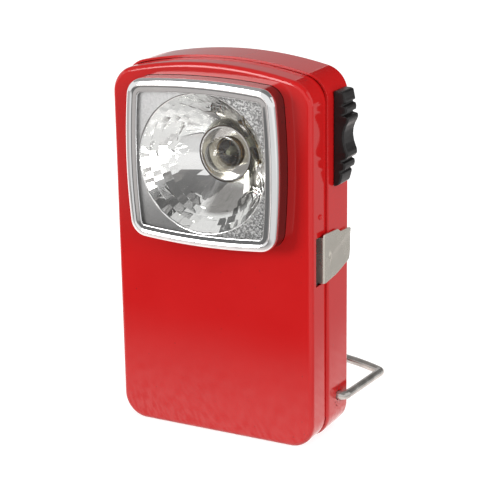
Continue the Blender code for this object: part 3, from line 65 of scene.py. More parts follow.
# Studio: a white room with a pale floor and a soft lamp on each side, the stronger one on the left.
# Gloss shows a soft box high on the left, grey and dark cards overhead and behind, and a floor that is
# bright close to the torch and falls off to the dark room in front of it.
class Socket:
    """One output of a material's nodes, to be used in sums and as another node's input."""

    def __init__(self, tree, output=None):
        self.tree = tree
        self.output = output

    def node(self, kind, settings=None, inputs=None, output=0):
        """A new node with its settings, a ramp's stops among them, and its inputs filled or linked."""
        made = self.tree.nodes.new("ShaderNode" + kind)
        for name, value in (settings or {}).items():
            if name == "stops":
                while len(made.color_ramp.elements) < len(value):
                    made.color_ramp.elements.new(0.5)
                for element, (position, colour) in zip(made.color_ramp.elements, value):
                    element.position = position
                    element.color = (*colour, 1)
            else:
                setattr(made, name, value)
        for name, value in (inputs or {}).items():
            self.feed(made.inputs[name], value)
        return Socket(self.tree, made.outputs[output])

    def feed(self, socket, value):
        if isinstance(value, Socket):
            self.tree.links.new(value.output, socket)
        elif isinstance(value, tuple) and len(value) == 3 and socket.type == "RGBA":
            socket.default_value = (*value, 1)
        else:
            socket.default_value = value

    def maths(self, operation, first, second=0.0):
        return self.node("Math", {"operation": operation}, {0: first, 1: second})

    def __add__(self, other):
        return self.maths("ADD", self, other)

    def __radd__(self, other):
        return self.maths("ADD", other, self)

    def __sub__(self, other):
        return self.maths("SUBTRACT", self, other)

    def __rsub__(self, other):
        return self.maths("SUBTRACT", other, self)

    def __mul__(self, other):
        return self.maths("MULTIPLY", self, other)

    def __rmul__(self, other):
        return self.maths("MULTIPLY", other, self)

    def __gt__(self, other):
        return self.maths("GREATER_THAN", self, other)

    def __lt__(self, other):
        return self.maths("LESS_THAN", self, other)

    def between(self, low, high):
        """How far this value has come from low to high, from 0 to 1."""
        return self.node("MapRange", {"interpolation_type": "SMOOTHSTEP"}, {0: self, 1: low, 2: high})

    def colours(self, low, high):
        """The colour low where this value is 0 and high where it is 1."""
        return self.node("Mix", {"data_type": "RGBA"}, {0: self, 6: low, 7: high}, 2)

    def along(self, axis):
        """This vector's length along one axis."""
        return self.node("SeparateXYZ", None, {0: self}, axis)

    def noise(self, scale, detail):
        """Noise over the places that this vector gives."""
        return self.node("TexNoise", None, {"Vector": self, "Scale": scale, "Detail": detail})

    def bump(self, depth):
        """The normals of a surface that has this value as its relief."""
        return self.node("Bump", None, {"Height": self, "Distance": depth})


def new_material(name):
    material = bpy.data.materials.new(name)
    material.use_nodes = True
    return material, Socket(material.node_tree)


def set_shader(material, values):
    maker = Socket(material.node_tree)
    shader = material.node_tree.nodes["Principled BSDF"]
    for name, value in values.items():
        maker.feed(shader.inputs[name], value)


def flat_sheet(name, centre, facing, width, height):
    """A flat rectangle in the studio, not part of the torch."""
    mesh = bpy.data.meshes.new(name)
    corners = ((-1, -1), (1, -1), (1, 1), (-1, 1))
    mesh.from_pydata([(x * width / 2, y * height / 2, 0) for x, y in corners], [], [(0, 1, 2, 3)])
    sheet = bpy.data.objects.new(name, mesh)
    bpy.context.scene.collection.objects.link(sheet)
    sheet.location = centre
    sheet.rotation_euler = Vector(facing).to_track_quat("Z", "Y").to_euler()
    return sheet


world = bpy.data.worlds.new("white_room")
world.use_nodes = True
bpy.context.scene.world = world
room = Socket(world.node_tree)
ray_kinds = ("Is Camera Ray", "Is Glossy Ray", "Is Transmission Ray")
by_camera, by_gloss, by_glass = [room.node("LightPath", output=kind) for kind in ray_kinds]
seen = room.maths("MAXIMUM", room.maths("MAXIMUM", by_camera, by_gloss), by_glass)
ambient = room.node("Background", None, {"Color": (1, 1, 1), "Strength": 0.62})
white = room.node("Background", None, {"Color": (1, 1, 1), "Strength": 1.0})
backdrop = room.node("MixShader", None, {0: seen, 1: ambient, 2: white})
room.feed(world.node_tree.nodes["World Output"].inputs["Surface"], backdrop)

floor_drop = 0.0002
floor_size = 6
floor = flat_sheet("floor", (0, 0, -floor_drop), (0, 0, 1), floor_size, floor_size)
floor_look, ground = new_material("pale_floor")
spot = ground.node("NewGeometry", output="Position")
rightward = spot.along("X")
leftward = 0 - rightward
ahead = 0 - spot.along("Y")
waver = spot.noise(14.0, 1.0) * 0.03
along_weave = {"Vector": spot, "Rotation": (0, 0, math.radians(49)), "Scale": (1, 0.09, 1)}
weave = ground.node("Mapping", {"vector_type": "TEXTURE"}, along_weave)
ripple = weave.noise(110.0, 1.0).between(0.38, 0.62)
in_front = (ahead - waver).between(0.060, 0.105) * leftward.between(-0.08, 0.0)
far_left = leftward.between(0.13, 0.20) * ahead.between(0.17, 0.22)
dark = in_front * (1 - far_left) * (1 - leftward.between(0.26, 0.34))
close = 1 - ahead.between(0.015, 0.095)
bright = close.colours((0.55, 0.52, 0.50), (1.9, 1.75, 1.7))
streaked = (ripple * 0.55).colours(bright, (0.42, 0.38, 0.38))
to_the_right = rightward.between(0.03, 0.09) * (1 - ahead.between(0.0, 0.08))
pale = to_the_right.colours(streaked, (0.50, 0.50, 0.50))
right_front = rightward.between(0.0, 0.08) * ahead.between(0.0, 0.08)
far_right = rightward.between(0.25, 0.40).colours((0.82, 0.82, 0.82), (1.0, 1.0, 1.0))
pale = right_front.colours(pale, far_right)
gloss_colour = dark.colours(pale, (0.11, 0.11, 0.11))
camera_ray = ground.node("LightPath", output="Is Camera Ray")
through_glass = ground.node("LightPath", output="Is Transmission Ray")
glow = ground.maths("MAXIMUM", camera_ray, through_glass)
set_shader(floor_look, {
    "Base Color": (0.62, 0.62, 0.62),
    "Roughness": 0.9,
    "Specular IOR Level": 0.0,
    "Emission Color": glow.colours((0, 0, 0), (1, 1, 1)),
    "Emission Strength": 0.72,
})
plain = Socket(ground.tree, floor_look.node_tree.nodes["Principled BSDF"].outputs[0])
reflected = ground.node("Emission", None, {"Color": gloss_colour, "Strength": 1.0})
glossy_ray = ground.node("LightPath", output="Is Glossy Ray")
both = ground.node("MixShader", None, {0: glossy_ray, 1: plain, 2: reflected})
ground.feed(floor_look.node_tree.nodes["Material Output"].inputs["Surface"], both)
floor.data.materials.append(floor_look)


def gloss_card(name, centre, facing, width, height, strength):
    """A card that only gloss shows: white cloth over a lamp, or black felt."""
    card = flat_sheet(name, centre, facing, width, height)
    look, maker = new_material(name + "_cloth")
    direct = maker.node("LightPath", output="Diffuse Depth") < 0.5
    glow = direct.colours((0, 0, 0), (1, 1, 1))
    set_shader(look, {"Base Color": (0, 0, 0), "Emission Color": glow, "Emission Strength": strength})
    card.data.materials.append(look)
    card.visible_camera = False
    card.visible_diffuse = False
    card.visible_transmission = False
    card.visible_shadow = False


gloss_card("soft_box", (-0.45, -0.85, 0.46), (0.45, 0.85, -0.36), 0.40, 0.60, 9.0)
gloss_card("grey_ceiling", (-0.90, 0.15, 0.90), (0, 0, -1), 1.60, 2.10, 0.30)
gloss_card("dark_ceiling", (0.35, 0.15, 0.90), (0, 0, -1), 0.90, 2.10, 0.14)
gloss_card("dark_right", (1.60, -0.85, 0.90), (0, 0, -1), 1.60, 0.95, 0.14)
gloss_card("dark_back", (0.22, 1.0, 0.40), (0, -1, 0), 0.95, 0.66, 0.02)
gloss_card("grey_back", (-0.75, 1.0, 0.40), (0, -1, 0), 0.95, 0.66, 0.45)
torch_middle = Vector((0, 0, 0.06))


def soft_lamp(name, place, size, power):
    """A square lamp aimed at the middle of the torch, which gloss doesn't show."""
    lamp = bpy.data.objects.new(name, bpy.data.lights.new(name, "AREA"))
    lamp.data.size = size
    lamp.data.energy = power
    lamp.location = place
    lamp.rotation_euler = (Vector(place) - torch_middle).to_track_quat("Z", "Y").to_euler()
    lamp.visible_glossy = False
    bpy.context.scene.collection.objects.link(lamp)


soft_lamp("key_lamp", (-0.75, -0.88, 0.32), 0.45, 8.8)
soft_lamp("side_lamp", (0.92, -0.34, 0.42), 0.50, 6.6)

# Case: two trays drawn from half-millimetre sheet steel and stove enamelled red.
# The front tray's wall steps in and slides into the rear one, which leaves the seam round the sides.
case_low, case_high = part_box("rear_shell")
front_low, front_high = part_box("front_shell")
sheet_metal = 0.0005
edge_round = 0.0016
base_corner = 0.0082
top_corner = 0.0088
top_crown = 0.0050
front_rim = 0.00018
rim_lip = 0.00077
lip_inner = 0.00004
lip_end = 0.0012
sheet_start = 0.0018
crisp_rim = (0.0001, 0.0001)
soft_rim = (0.00068, 0.0017)
soft_below = 0.113
soft_blend = 0.012
bail_height = 0.0130
seam = case_low.y
rear_middle = (seam + case_high.y) / 2
half_case = case_high.x
half_front = front_high.x


def arc(centre, radius, start, end, steps):
    """Points on a circle, both ends included."""
    turns = [start + (end - start) * step / steps for step in range(steps + 1)]
    return [(centre[0] + radius * math.cos(turn), centre[1] + radius * math.sin(turn)) for turn in turns]


def circle(centre, radius, steps):
    """Points all the way round."""
    return arc(centre, radius, 0, 2 * math.pi, steps)[:-1]


def quarter_turn(steps):
    """Sines and cosines from nothing to a quarter turn."""
    turns = [math.pi / 2 * step / steps for step in range(steps + 1)]
    return [(math.sin(turn), math.cos(turn)) for turn in turns]


def crown_circle(half_width, top, crown):
    """Centre height and radius of the arc that rises by the crown over the half width."""
    radius = (half_width ** 2 + crown ** 2) / (2 * crown)
    return top - radius, radius


def case_outline(half_width, top, inset):
    """Front view of a tray: straight sides, flat base, crowned top."""
    low, crown_radius = crown_circle(half_width, top, top_crown)
    across = half_width - top_corner
    height = low + math.sqrt((crown_radius - top_corner) ** 2 - across ** 2)
    turn = math.atan2(height - low, across)
    base = (half_width - base_corner, base_corner)
    right_side = arc(base, base_corner - inset, -math.pi / 2, 0, 16)
    right_side += arc((across, height), top_corner - inset, 0, turn, 16)
    crown = arc((0, low), crown_radius - inset, turn, math.pi - turn, 24)
    return right_side + crown[1:-1] + [(-x, z) for x, z in reversed(right_side)]


def new_piece(name, shape):
    """An object of the finished faces, smooth and facing outwards."""
    bmesh.ops.recalc_face_normals(shape, faces=shape.faces)
    for face in shape.faces:
        face.smooth = True
    mesh = bpy.data.meshes.new(name)
    shape.to_mesh(mesh)
    shape.free()
    piece = bpy.data.objects.new(name, mesh)
    bpy.context.scene.collection.objects.link(piece)
    return piece


def join_lines(shape, lines, closed):
    """Faces from each line of points to the next, also between their ends and starts if closed."""
    for first, second in zip(lines, lines[1:]):
        for index in range(len(first) if closed else len(first) - 1):
            after = (index + 1) % len(first)
            shape.faces.new((first[index], first[after], second[after], second[index]))


def skin(name, rings, capped):
    """A closed mesh of rings with as many points each, its two ends capped or joined to one another."""
    shape = bmesh.new()
    loops = [[shape.verts.new(point) for point in ring] for ring in rings]
    join_lines(shape, loops if capped else loops + loops[:1], True)
    if capped:
        shape.faces.new(loops[0])
        shape.faces.new(loops[-1])
    return new_piece(name, shape)


def block(low, high):
    """A plain block, to cut with or to add to a piece."""
    corners = [(low[0], low[2]), (high[0], low[2]), (high[0], high[2]), (low[0], high[2])]
    return skin("block", [[(x, y, z) for x, z in corners] for y in (low[1], high[1])], True)


def cross_bar(middle, centre, radius, length):
    """A round bar from left to right, to cut with."""
    ends = (middle - length / 2, middle + length / 2)
    return skin("bar", [[(x, y, z) for y, z in circle(centre, radius, 48)] for x in ends], True)


def carve(piece, cutters):
    """Cuts the pieces away and keeps only the resulting mesh."""
    for cutter in cutters:
        cut = piece.modifiers.new("cut", "BOOLEAN")
        cut.solver = "EXACT"
        cut.object = cutter
    bpy.context.view_layer.update()
    view = bpy.context.evaluated_depsgraph_get()
    mesh = bpy.data.meshes.new_from_object(piece.evaluated_get(view))
    piece.modifiers.clear()
    piece.data = mesh
    for cutter in cutters:
        bpy.data.objects.remove(cutter)


def add_to(piece, others):
    """Adds the others' meshes to the piece as bodies of their own."""
    shape = bmesh.new()
    shape.from_mesh(piece.data)
    for other in others:
        shape.from_mesh(other.data)
        bpy.data.objects.remove(other)
    shape.to_mesh(piece.data)
    shape.free()


def fit(piece, material, body, nodes, sharp=30):
    """Gives a modelled piece its material, its edges and its place in the frame."""
    piece.data.materials.clear()
    piece.data.materials.append(material)
    piece.data.set_sharp_from_angle(angle=math.radians(sharp))
    normals = piece.modifiers.new("normals", "WEIGHTED_NORMAL")
    normals.keep_sharp = True
    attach(piece, body)
    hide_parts(*nodes)


def tray_rings(half_width, top, face, rim, rim_sheet, rim_curve, rim_slope, rim_inner):
    """From the middle of the outer face over its rounded edge, round the rim and back inside."""
    toward = math.copysign(1, face - rim)
    inner_round = edge_round - sheet_metal
    profile = []
    for sine, cosine in quarter_turn(8):
        profile.append((edge_round * (1 - sine), face - toward * edge_round * (1 - cosine)))
    for sine, cosine in quarter_turn(8):
        profile.append((rim_curve * (1 - cosine), rim + toward * rim_slope * (1 - sine)))
    for sine, cosine in quarter_turn(4):
        profile.append((rim_sheet - rim_inner * (1 - sine), rim + toward * rim_inner * (1 - cosine)))
    profile += [(rim_sheet, rim + toward * lip_end), (sheet_metal, rim + toward * sheet_start)]
    for sine, cosine in quarter_turn(8):
        inset = sheet_metal + inner_round * (1 - cosine)
        profile.append((inset, face - toward * (sheet_metal + inner_round * (1 - sine))))
    return [[(x, y, z) for x, z in case_outline(half_width, top, inset)] for inset, y in profile]


def softer_sides(top_rings, side_rings):
    """Rings that follow the first set over the crowned top and the second down the straight sides."""
    rings = []
    for over, down in zip(top_rings, side_rings):
        shares = [min(1, max(0, (soft_below - point[2]) / soft_blend)) for point in over]
        rings.append([Vector(a).lerp(Vector(b), share) for a, b, share in zip(over, down, shares)])
    return rings


crisp, soft = [
    tray_rings(half_case, case_high.z, case_high.y, seam, rim_lip, curve, slope, lip_inner)
    for curve, slope in (crisp_rim, soft_rim)
]
rear_tray = skin("rear_tray", softer_sides(crisp, soft), True)
front_rings = tray_rings(
    half_front, front_high.z, front_low.y, front_high.y, sheet_metal, front_rim, front_rim, front_rim
)
front_tray = skin("front_tray", front_rings, True)

enamel, paint = new_material("red_enamel")
spot = paint.node("TexCoord", output="Object")
patchy = spot.noise(45.0, 3.0)
grain = spot.noise(2600.0, 2.0)
dust = paint.node("TexVoronoi", None, {"Vector": spot, "Scale": 420.0}, "Distance")
rare = spot.noise(300.0, 0.0)
fleck = (dust < 0.085) * (rare > 0.60)
beside = paint.maths("ABSOLUTE", spot.along("X"))
behind = spot.along("Y") - rear_middle
above = spot.along("Z") - bail_height
from_hole = paint.maths("SQRT", behind * behind + above * above) + (half_case - beside)
crumb = paint.node("TexVoronoi", None, {"Vector": spot, "Scale": 1100.0}, "Distance")
chipped = (1 - from_hole.between(0.0022, 0.0066)) * 0.42 > crumb
coat = patchy.colours((0.475, 0.0070, 0.0074), (0.525, 0.0092, 0.0095))
coat = fleck.colours(coat, (0.26, 0.010, 0.010))
coat = chipped.colours(coat, (0.22, 0.008, 0.008))
wave = spot.noise(110.0, 1.0)
relief = wave + grain * 0.06 + fleck * 0.5
set_shader(enamel, {
    "Base Color": coat,
    "Roughness": patchy.between(0.3, 0.7) * 0.05 + 0.07 + chipped * 0.6,
    "Normal": relief.bump(0.000012),
})

# Holes of the case: the lamp's opening, the slot of the latch, the switch's slot and the bail's holes.
# The four tongues behind the lamp's opening are bent over its foot.
lamp_low, lamp_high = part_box("bezel")
lamp_height = (lamp_low.z + lamp_high.z) / 2
latch_low, latch_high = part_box("latch_clip")
latch_height = 0.0632
slider_low, slider_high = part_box("switch_slider")
switch_height = (slider_low.z + slider_high.z) / 2
bezel_width = 0.0541
bezel_tall = 0.0536
bezel_bulge = 0.0017
bezel_corner = 0.0058


def bezel_outline(inset, corner_steps=12, side_steps=8):
    """Front view of the lamp frame, all four sides bowed out, about the lamp's axis."""
    half_width = bezel_width / 2
    half_height = bezel_tall / 2
    reach, end_radius = crown_circle(half_width, half_height, bezel_bulge)
    out, side_radius = crown_circle(half_height, half_width, bezel_bulge)
    apart = math.hypot(out, reach)
    first = side_radius - bezel_corner
    second = end_radius - bezel_corner
    along = (first ** 2 - second ** 2 + apart ** 2) / (2 * apart)
    aside = math.sqrt(first ** 2 - along ** 2)
    corner = (out - (along * out + aside * reach) / apart, (along * reach - aside * out) / apart)
    low_turn = math.atan2(corner[1], corner[0] - out)
    high_turn = math.atan2(corner[1] - reach, corner[0])
    quarter = arc((out, 0), side_radius - inset, 0, low_turn, side_steps)
    quarter += arc(corner, bezel_corner - inset, low_turn, high_turn, corner_steps)[1:]
    quarter += arc((0, reach), end_radius - inset, high_turn, math.pi / 2, side_steps)[1:]
    upper = quarter + [(-x, z) for x, z in reversed(quarter[:-1])]
    return upper + [(x, -z) for x, z in reversed(upper[1:-1])]


def lamp_ring(inset, rise):
    """The lamp frame's outline at an inset, so far in front of the front tray's face."""
    return [(x, front_low.y - rise, lamp_height + z) for x, z in bezel_outline(inset)]


gap = 0.0003
overrun = 0.001
opening_play = 0.0001
opening_ends = (overrun, -edge_round - overrun)
opening = skin("opening", [lamp_ring(-opening_play, rise) for rise in opening_ends], True)
lap_end = (half_case, front_high.y + overrun, base_corner)
base_lap = block((-half_case, seam - gap, -overrun), lap_end)
leg_drop = 0.0008
leg_half = 0.0075
slot_length = 0.0040
slot_play = 0.0005
slot_end_play = 0.00045
slot_front = latch_low.y + sheet_metal + slot_play - slot_length
slot_half = leg_half + slot_end_play
latch_slot = block(
    (half_front - 2 * sheet_metal, slot_front, latch_height - leg_drop - slot_half),
    (half_front + overrun, slot_front + slot_length, latch_height - leg_drop + slot_half),
)
carve(front_tray, [opening, base_lap, latch_slot])

stem_half = 0.0013
switch_travel = 0.0060
stem_room = stem_half + gap
switch_slot = block(
    (half_case - 2 * sheet_metal, rear_middle - stem_room, switch_height - switch_travel - stem_room),
    (half_case + overrun, rear_middle + stem_room, switch_height + stem_room),
)
wire_radius = 0.00145
hole_play = 0.0002
wall_middle = half_case - sheet_metal / 2
bail_holes = [
    cross_bar(side * wall_middle, (rear_middle, bail_height), wire_radius + hole_play, 2 * overrun)
    for side in (-1, 1)
]
carve(rear_tray, [switch_slot] + bail_holes)

tongue_aside = 0.0023
tongue_height = 0.0018
tongue_spacing = 0.013
tongue_half = 0.0015
tongue_lap = 0.0020
tongue_foot = bezel_width / 2 + tongue_aside
tongue_root = front_low.y + sheet_metal / 2
tongue_bend = front_low.y + sheet_metal + tongue_height
tongues = []
for side in (-1, 1):
    for middle in (lamp_height - tongue_spacing, lamp_height + tongue_spacing):
        low, high = middle - tongue_half, middle + tongue_half
        upright = sorted((side * tongue_foot, side * (tongue_foot + sheet_metal)))
        hook = sorted((side * (tongue_foot + sheet_metal), side * (tongue_foot - tongue_lap)))
        tongues.append(block((upright[0], tongue_root, low), (upright[1], tongue_bend, high)))
        tongues.append(block((hook[0], tongue_bend, low), (hook[1], tongue_bend + sheet_metal, high)))
add_to(front_tray, tongues)
fit(rear_tray, enamel, "rear_case", ["rear_shell"])
fit(front_tray, enamel, "front_case", ["front_shell"])

# Lamp frame: one drawing of thin brass sheet, chrome plated, its foot held inside the front tray.
# The rim dips inwards from a sharp crest and ends in a rolled edge that lies on the lens.
bezel_rise = front_low.y - lamp_low.y
bezel_sheet = 0.0004
foot = -sheet_metal - gap
foot_reach = 0.0020
shoulder = 0.0022
crest = 0.0019
inner_drop = 0.0001
groove = 0.00036
groove_inset = 0.0028
groove_slope = 0.00009
roll_inset = 0.0039
roll_width = 0.0004
roll_drop = 0.00059
roll_height = 0.00032
back_inset = 0.0041
back_drop = 0.00080
shoulder_shares = (
    (0.000, 0.00), (0.003, 0.12), (0.013, 0.24), (0.032, 0.35), (0.062, 0.46), (0.105, 0.56),
    (0.165, 0.65), (0.245, 0.72), (0.340, 0.775), (0.450, 0.825), (0.570, 0.87), (0.700, 0.915),
    (0.830, 0.957), (0.930, 0.988), (1.000, 1.000),
)
wall_top = bezel_rise - shoulder
outer = [(-foot_reach, foot), (0, foot)]
inner = [(-foot_reach, foot - bezel_sheet), (bezel_sheet, foot - bezel_sheet)]
for across_share, up_share in shoulder_shares:
    outer.append((crest * across_share, wall_top + shoulder * up_share))
    inner_top = wall_top + (shoulder - bezel_sheet) * up_share - inner_drop
    inner.append((bezel_sheet + (crest - bezel_sheet) * across_share, inner_top))
for share in [step / 7 for step in range(1, 8)]:
    dip = groove * math.sin(math.pi / 2 * share)
    outer.append((crest + (groove_inset - crest) * share, bezel_rise - dip))
for share in [step / 4 for step in range(1, 5)]:
    climb = groove_slope * share - groove
    outer.append((groove_inset + (roll_inset - groove_inset) * share, bezel_rise + climb))
for sine, cosine in quarter_turn(5)[1:]:
    outer.append((roll_inset + roll_width * sine, bezel_rise - roll_drop + roll_height * cosine))
inner.append((back_inset, bezel_rise - back_drop))
rings = [lamp_ring(inset, rise) for inset, rise in outer + inner[::-1]]
lamp_frame = skin("lamp_frame", rings, False)

chrome, plating = new_material("chrome_plate")
spot = plating.node("TexCoord", output="Object")
haze = spot.noise(90.0, 4.0)
scratch = spot.noise(700.0, 2.0)
# Painted shade: the outer wall behind the crest is coloured dark brown for the shaded red face it
# reflects.
behind_crest = spot.along("Y") - lamp_low.y
painted_dark_wall = behind_crest.between(0.0019, 0.0026)
bright_plate = haze.colours((0.74, 0.745, 0.75), (0.84, 0.84, 0.84))
set_shader(chrome, {
    "Base Color": painted_dark_wall.colours(bright_plate, (0.32, 0.29, 0.28)),
    "Metallic": painted_dark_wall * 0.06 + 0.94,
    "Roughness": haze.between(0.45, 0.75) * 0.05 + 0.035,
    "Normal": scratch.bump(0.000002),
})
fit(lamp_frame, chrome, "front_case", ["bezel"], 24)

# Lens: a flat pane of clear plastic with a rounded edge, held between the rim and the reflector.
lens_low, lens_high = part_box("lens")
lens_front = front_low.y - lens_low.y
lens_back = front_low.y - lens_high.y
lens_inset = 0.0014
lens_round = 0.0002
rounding = ((lens_round, 0), (lens_round / 3, lens_round / 3), (0, lens_round))
pane = [lamp_ring(lens_inset + inwards, lens_front - depth) for inwards, depth in rounding]
pane += [lamp_ring(lens_inset + inwards, lens_back + depth) for inwards, depth in reversed(rounding)]
lens_pane = skin("lens_pane", pane, True)


def clear_material(name, tint, haze_scale):
    """Something clear: seen through except for its gloss, which grows towards its edges."""
    material, maker = new_material(name)
    place = maker.node("TexCoord", output="Object")
    normal = place.noise(haze_scale, 3.0).bump(0.000004)
    through = maker.node("BsdfTransparent", None, {"Color": tint})
    shine = maker.node("BsdfGlossy", None, {"Color": (1, 1, 1), "Roughness": 0.03, "Normal": normal})
    facing = maker.node("LayerWeight", None, {"Blend": 0.5, "Normal": normal}, "Facing")
    share = maker.maths("POWER", facing, 5.0) * 0.96 + 0.04
    mixed = maker.node("MixShader", None, {0: share, 1: through, 2: shine})
    maker.feed(material.node_tree.nodes["Material Output"].inputs["Surface"], mixed)
    return material


clear_pane = clear_material("clear_pane", (0.995, 0.995, 0.995), 60.0)
fit(lens_pane, clear_pane, "front_case", ["lens"])

# Reflector: a moulding with a bright metal film, a bowl of flat facets that turns smooth near the bulb.
# Its square flange fills the lamp frame, finely grained on one side and hammered on the other.
reflector_low, reflector_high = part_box("reflector")
flange_front = reflector_low.y
bowl_radius = 0.0223
bowl_depth = 0.0155
collar_radius = 0.0093
collar_end = reflector_high.y - flange_front
bowl_wall = 0.0005
bowl_rows = 12
flange_sheet = 0.0006
flange_inset = 0.0012
flange_face = 0.0002
lip = 0.00035
lip_rise = 0.0001
facets = 38
facet_pieces = 4
facet_depths = (0.0003, 0.0030, 0.0056, 0.0080, 0.0101)
facet_step = 0.00004
corner_error = 0.00010
unevenness = random.Random(5)


def bowl_curve(depth):
    """Radius of the mirror so far behind its rim."""
    fall = (bowl_radius ** 2 - collar_radius ** 2) / bowl_depth
    return math.sqrt(bowl_radius ** 2 - fall * depth)


def bowl_ring(radius, depth):
    """A circle in the bowl."""
    points = circle((0, lamp_height), radius, facets * facet_pieces)
    return [(x, flange_front + depth, z) for x, z in points]


def facet_ring(depth, first_corner):
    """The many-sided figure at the end of a row of facets, its corners a little uneven."""
    corners = []
    for facet in range(facets):
        turn = 2 * math.pi * (facet + first_corner / facet_pieces) / facets
        radius = bowl_curve(depth) + unevenness.uniform(-corner_error, corner_error)
        corners.append(Vector((radius * math.cos(turn), 0, radius * math.sin(turn))))
    ring = []
    for index in range(facets * facet_pieces):
        facet, piece = divmod(index - first_corner, facet_pieces)
        place = corners[facet].lerp(corners[(facet + 1) % facets], piece / facet_pieces)
        ring.append(place + Vector((0, flange_front + depth, lamp_height)))
    return ring


def flange_ring(depth):
    """The flange's outline, a point on it for each point of the bowl's circle."""
    outline = [Vector(point) for point in bezel_outline(flange_inset, 24, 24)]
    ring = []
    for x, y, z in bowl_ring(1.0, depth):
        ray = Vector((x, z - lamp_height))
        for first, second in zip(outline, outline[1:] + outline[:1]):
            side = second - first
            across = ray.x * side.y - ray.y * side.x
            along = (first.x * side.y - first.y * side.x) / across if across else -1
            share = (first.x * ray.y - first.y * ray.x) / across if across else -1
            if along > 0 and -1e-9 <= share <= 1:
                ring.append((ray.x * along, y, lamp_height + ray.y * along))
                break
    return ring


rings = [flange_ring(flange_sheet), flange_ring(0.0), bowl_ring(bowl_radius + lip * 2, 0.0)]
rings += [bowl_ring(bowl_radius + lip, -lip_rise), bowl_ring(bowl_radius, 0.0)]
first_facet_ring = len(rings)
for row, (near, far) in enumerate(zip(facet_depths, facet_depths[1:])):
    first_corner = facet_pieces // 2 * (row % 2)
    rings += [facet_ring(near, first_corner), facet_ring(far - facet_step, first_corner)]
facet_rings_end = len(rings)
for step in range(1, bowl_rows + 1):
    depth = facet_depths[-1] + (bowl_depth - facet_depths[-1]) * step / bowl_rows
    rings.append(bowl_ring(bowl_curve(depth), depth))
rings += [bowl_ring(collar_radius, collar_end), bowl_ring(collar_radius + bowl_wall, collar_end)]
for step in range(bowl_rows, -1, -1):
    depth = bowl_depth * step / bowl_rows
    rings.append(bowl_ring(bowl_curve(depth) + bowl_wall, max(depth + bowl_wall, flange_sheet)))
bowl = skin("reflector_bowl", rings, False)

mirror, film = new_material("mirror_film")
spot = film.node("TexCoord", output="Object")
grain = spot.noise(1500.0, 3.0)
hammer = film.node("TexNoise", None, {"Vector": spot, "Scale": 1500.0, "Detail": 1.0, "Distortion": 1.0})
rightward = spot.along("X")
downward = lamp_height - spot.along("Z")
depth_in = spot.along("Y") - flange_front
from_axis = film.maths("SQRT", rightward * rightward + downward * downward)
on_flange = (from_axis > bowl_radius + lip) * (depth_in < flange_face)
right_side = rightward.between(-0.004, 0.010)
flow = spot.noise(60.0, 1.0)
dents = right_side * hammer.between(0.42, 0.58)
flange_relief = grain * 1.2 + dents * 2.0
relief = on_flange * flange_relief + (1 - on_flange) * flow * 0.9
# Painted light: the flange is coloured lighter on its left side, over the real grain's mottle.
grain_and_painted_light = (1 - right_side) * 0.35 + grain * 0.5
flange_film_and_light = grain_and_painted_light.between(0.2, 0.9).colours((0.44, 0.44, 0.44), (0.82, 0.82, 0.82))
# Painted shade: the flange is darkened towards its right side and its bottom.
painted_shade = film.maths("MAXIMUM", right_side, downward.between(0.002, 0.020)) * 0.65
flange_film_and_light = painted_shade.colours(flange_film_and_light, (0.12, 0.12, 0.115))
# Painted glints: the tops of the hammered dents are coloured near white, besides their real bumps.
flange_film_and_light = (dents * dents * 0.75).colours(flange_film_and_light, (0.90, 0.90, 0.89))
# Painted shade: the lower right of the smooth bowl is coloured dark grey for the dark reflections it
# shows.
low_right = downward.between(0.006, 0.011) * rightward.between(-0.005, -0.001)
painted_dark_patch = low_right * (1 - from_axis.between(0.0170, 0.0185))
bowl_film_and_shade = painted_dark_patch.colours((0.92, 0.92, 0.91), (0.34, 0.33, 0.32))
set_shader(mirror, {
    "Base Color": on_flange.colours(bowl_film_and_shade, flange_film_and_light),
    "Metallic": 1 - on_flange * 0.5,
    "Roughness": on_flange * 0.30 + 0.03,
    "Normal": relief.bump(0.00003),
})
fit(bowl, mirror, "front_case", ["reflector"], 40)
ring_points = facets * facet_pieces
for edge in bowl.data.edges:
    places = sorted(divmod(index, ring_points) for index in edge.vertices)
    rings_met = [ring for ring, point in places]
    if rings_met[0] >= first_facet_ring and rings_met[1] < facet_rings_end:
        row = (rings_met[0] - first_facet_ring) // 2
        on_corner = (places[0][1] - facet_pieces // 2 * (row % 2)) % facet_pieces == 0
        edge.use_edge_sharp = rings_met[0] == rings_met[1] or on_corner

# Bulb: a blown glass ball on a threaded brass cap, with a bead that holds two wires.
# The filament between the wires is a tight coil.
glass_low, glass_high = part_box("bulb_glass")
ball_radius = 0.00575
neck_radius = 0.0039
glass_wall = 0.00030
tip_turn = 0.04
ball_middle = glass_low.y + ball_radius


def ball_rings(radius, neck):
    """Circles from the tip of the ball back to its neck, and on to where the cap holds it."""
    tip = tip_turn - math.pi / 2
    end = math.acos(neck / radius)
    turns = [tip + (end - tip) * step / 28 for step in range(29)]
    profile = [(radius * math.cos(turn), ball_middle + radius * math.sin(turn)) for turn in turns]
    profile.append((neck, glass_high.y))
    return [[(x, y, z) for x, z in circle((0, lamp_height), around, 64)] for around, y in profile]


outside = ball_rings(ball_radius, neck_radius)
inside = ball_rings(ball_radius - glass_wall, neck_radius - glass_wall)
ball = skin("bulb_ball", outside + inside[::-1], True)
blown_glass = clear_material("bulb_glass_clear", (0.93, 0.92, 0.88), 200.0)
fit(ball, blown_glass, "front_case", ["bulb_glass"], 40)


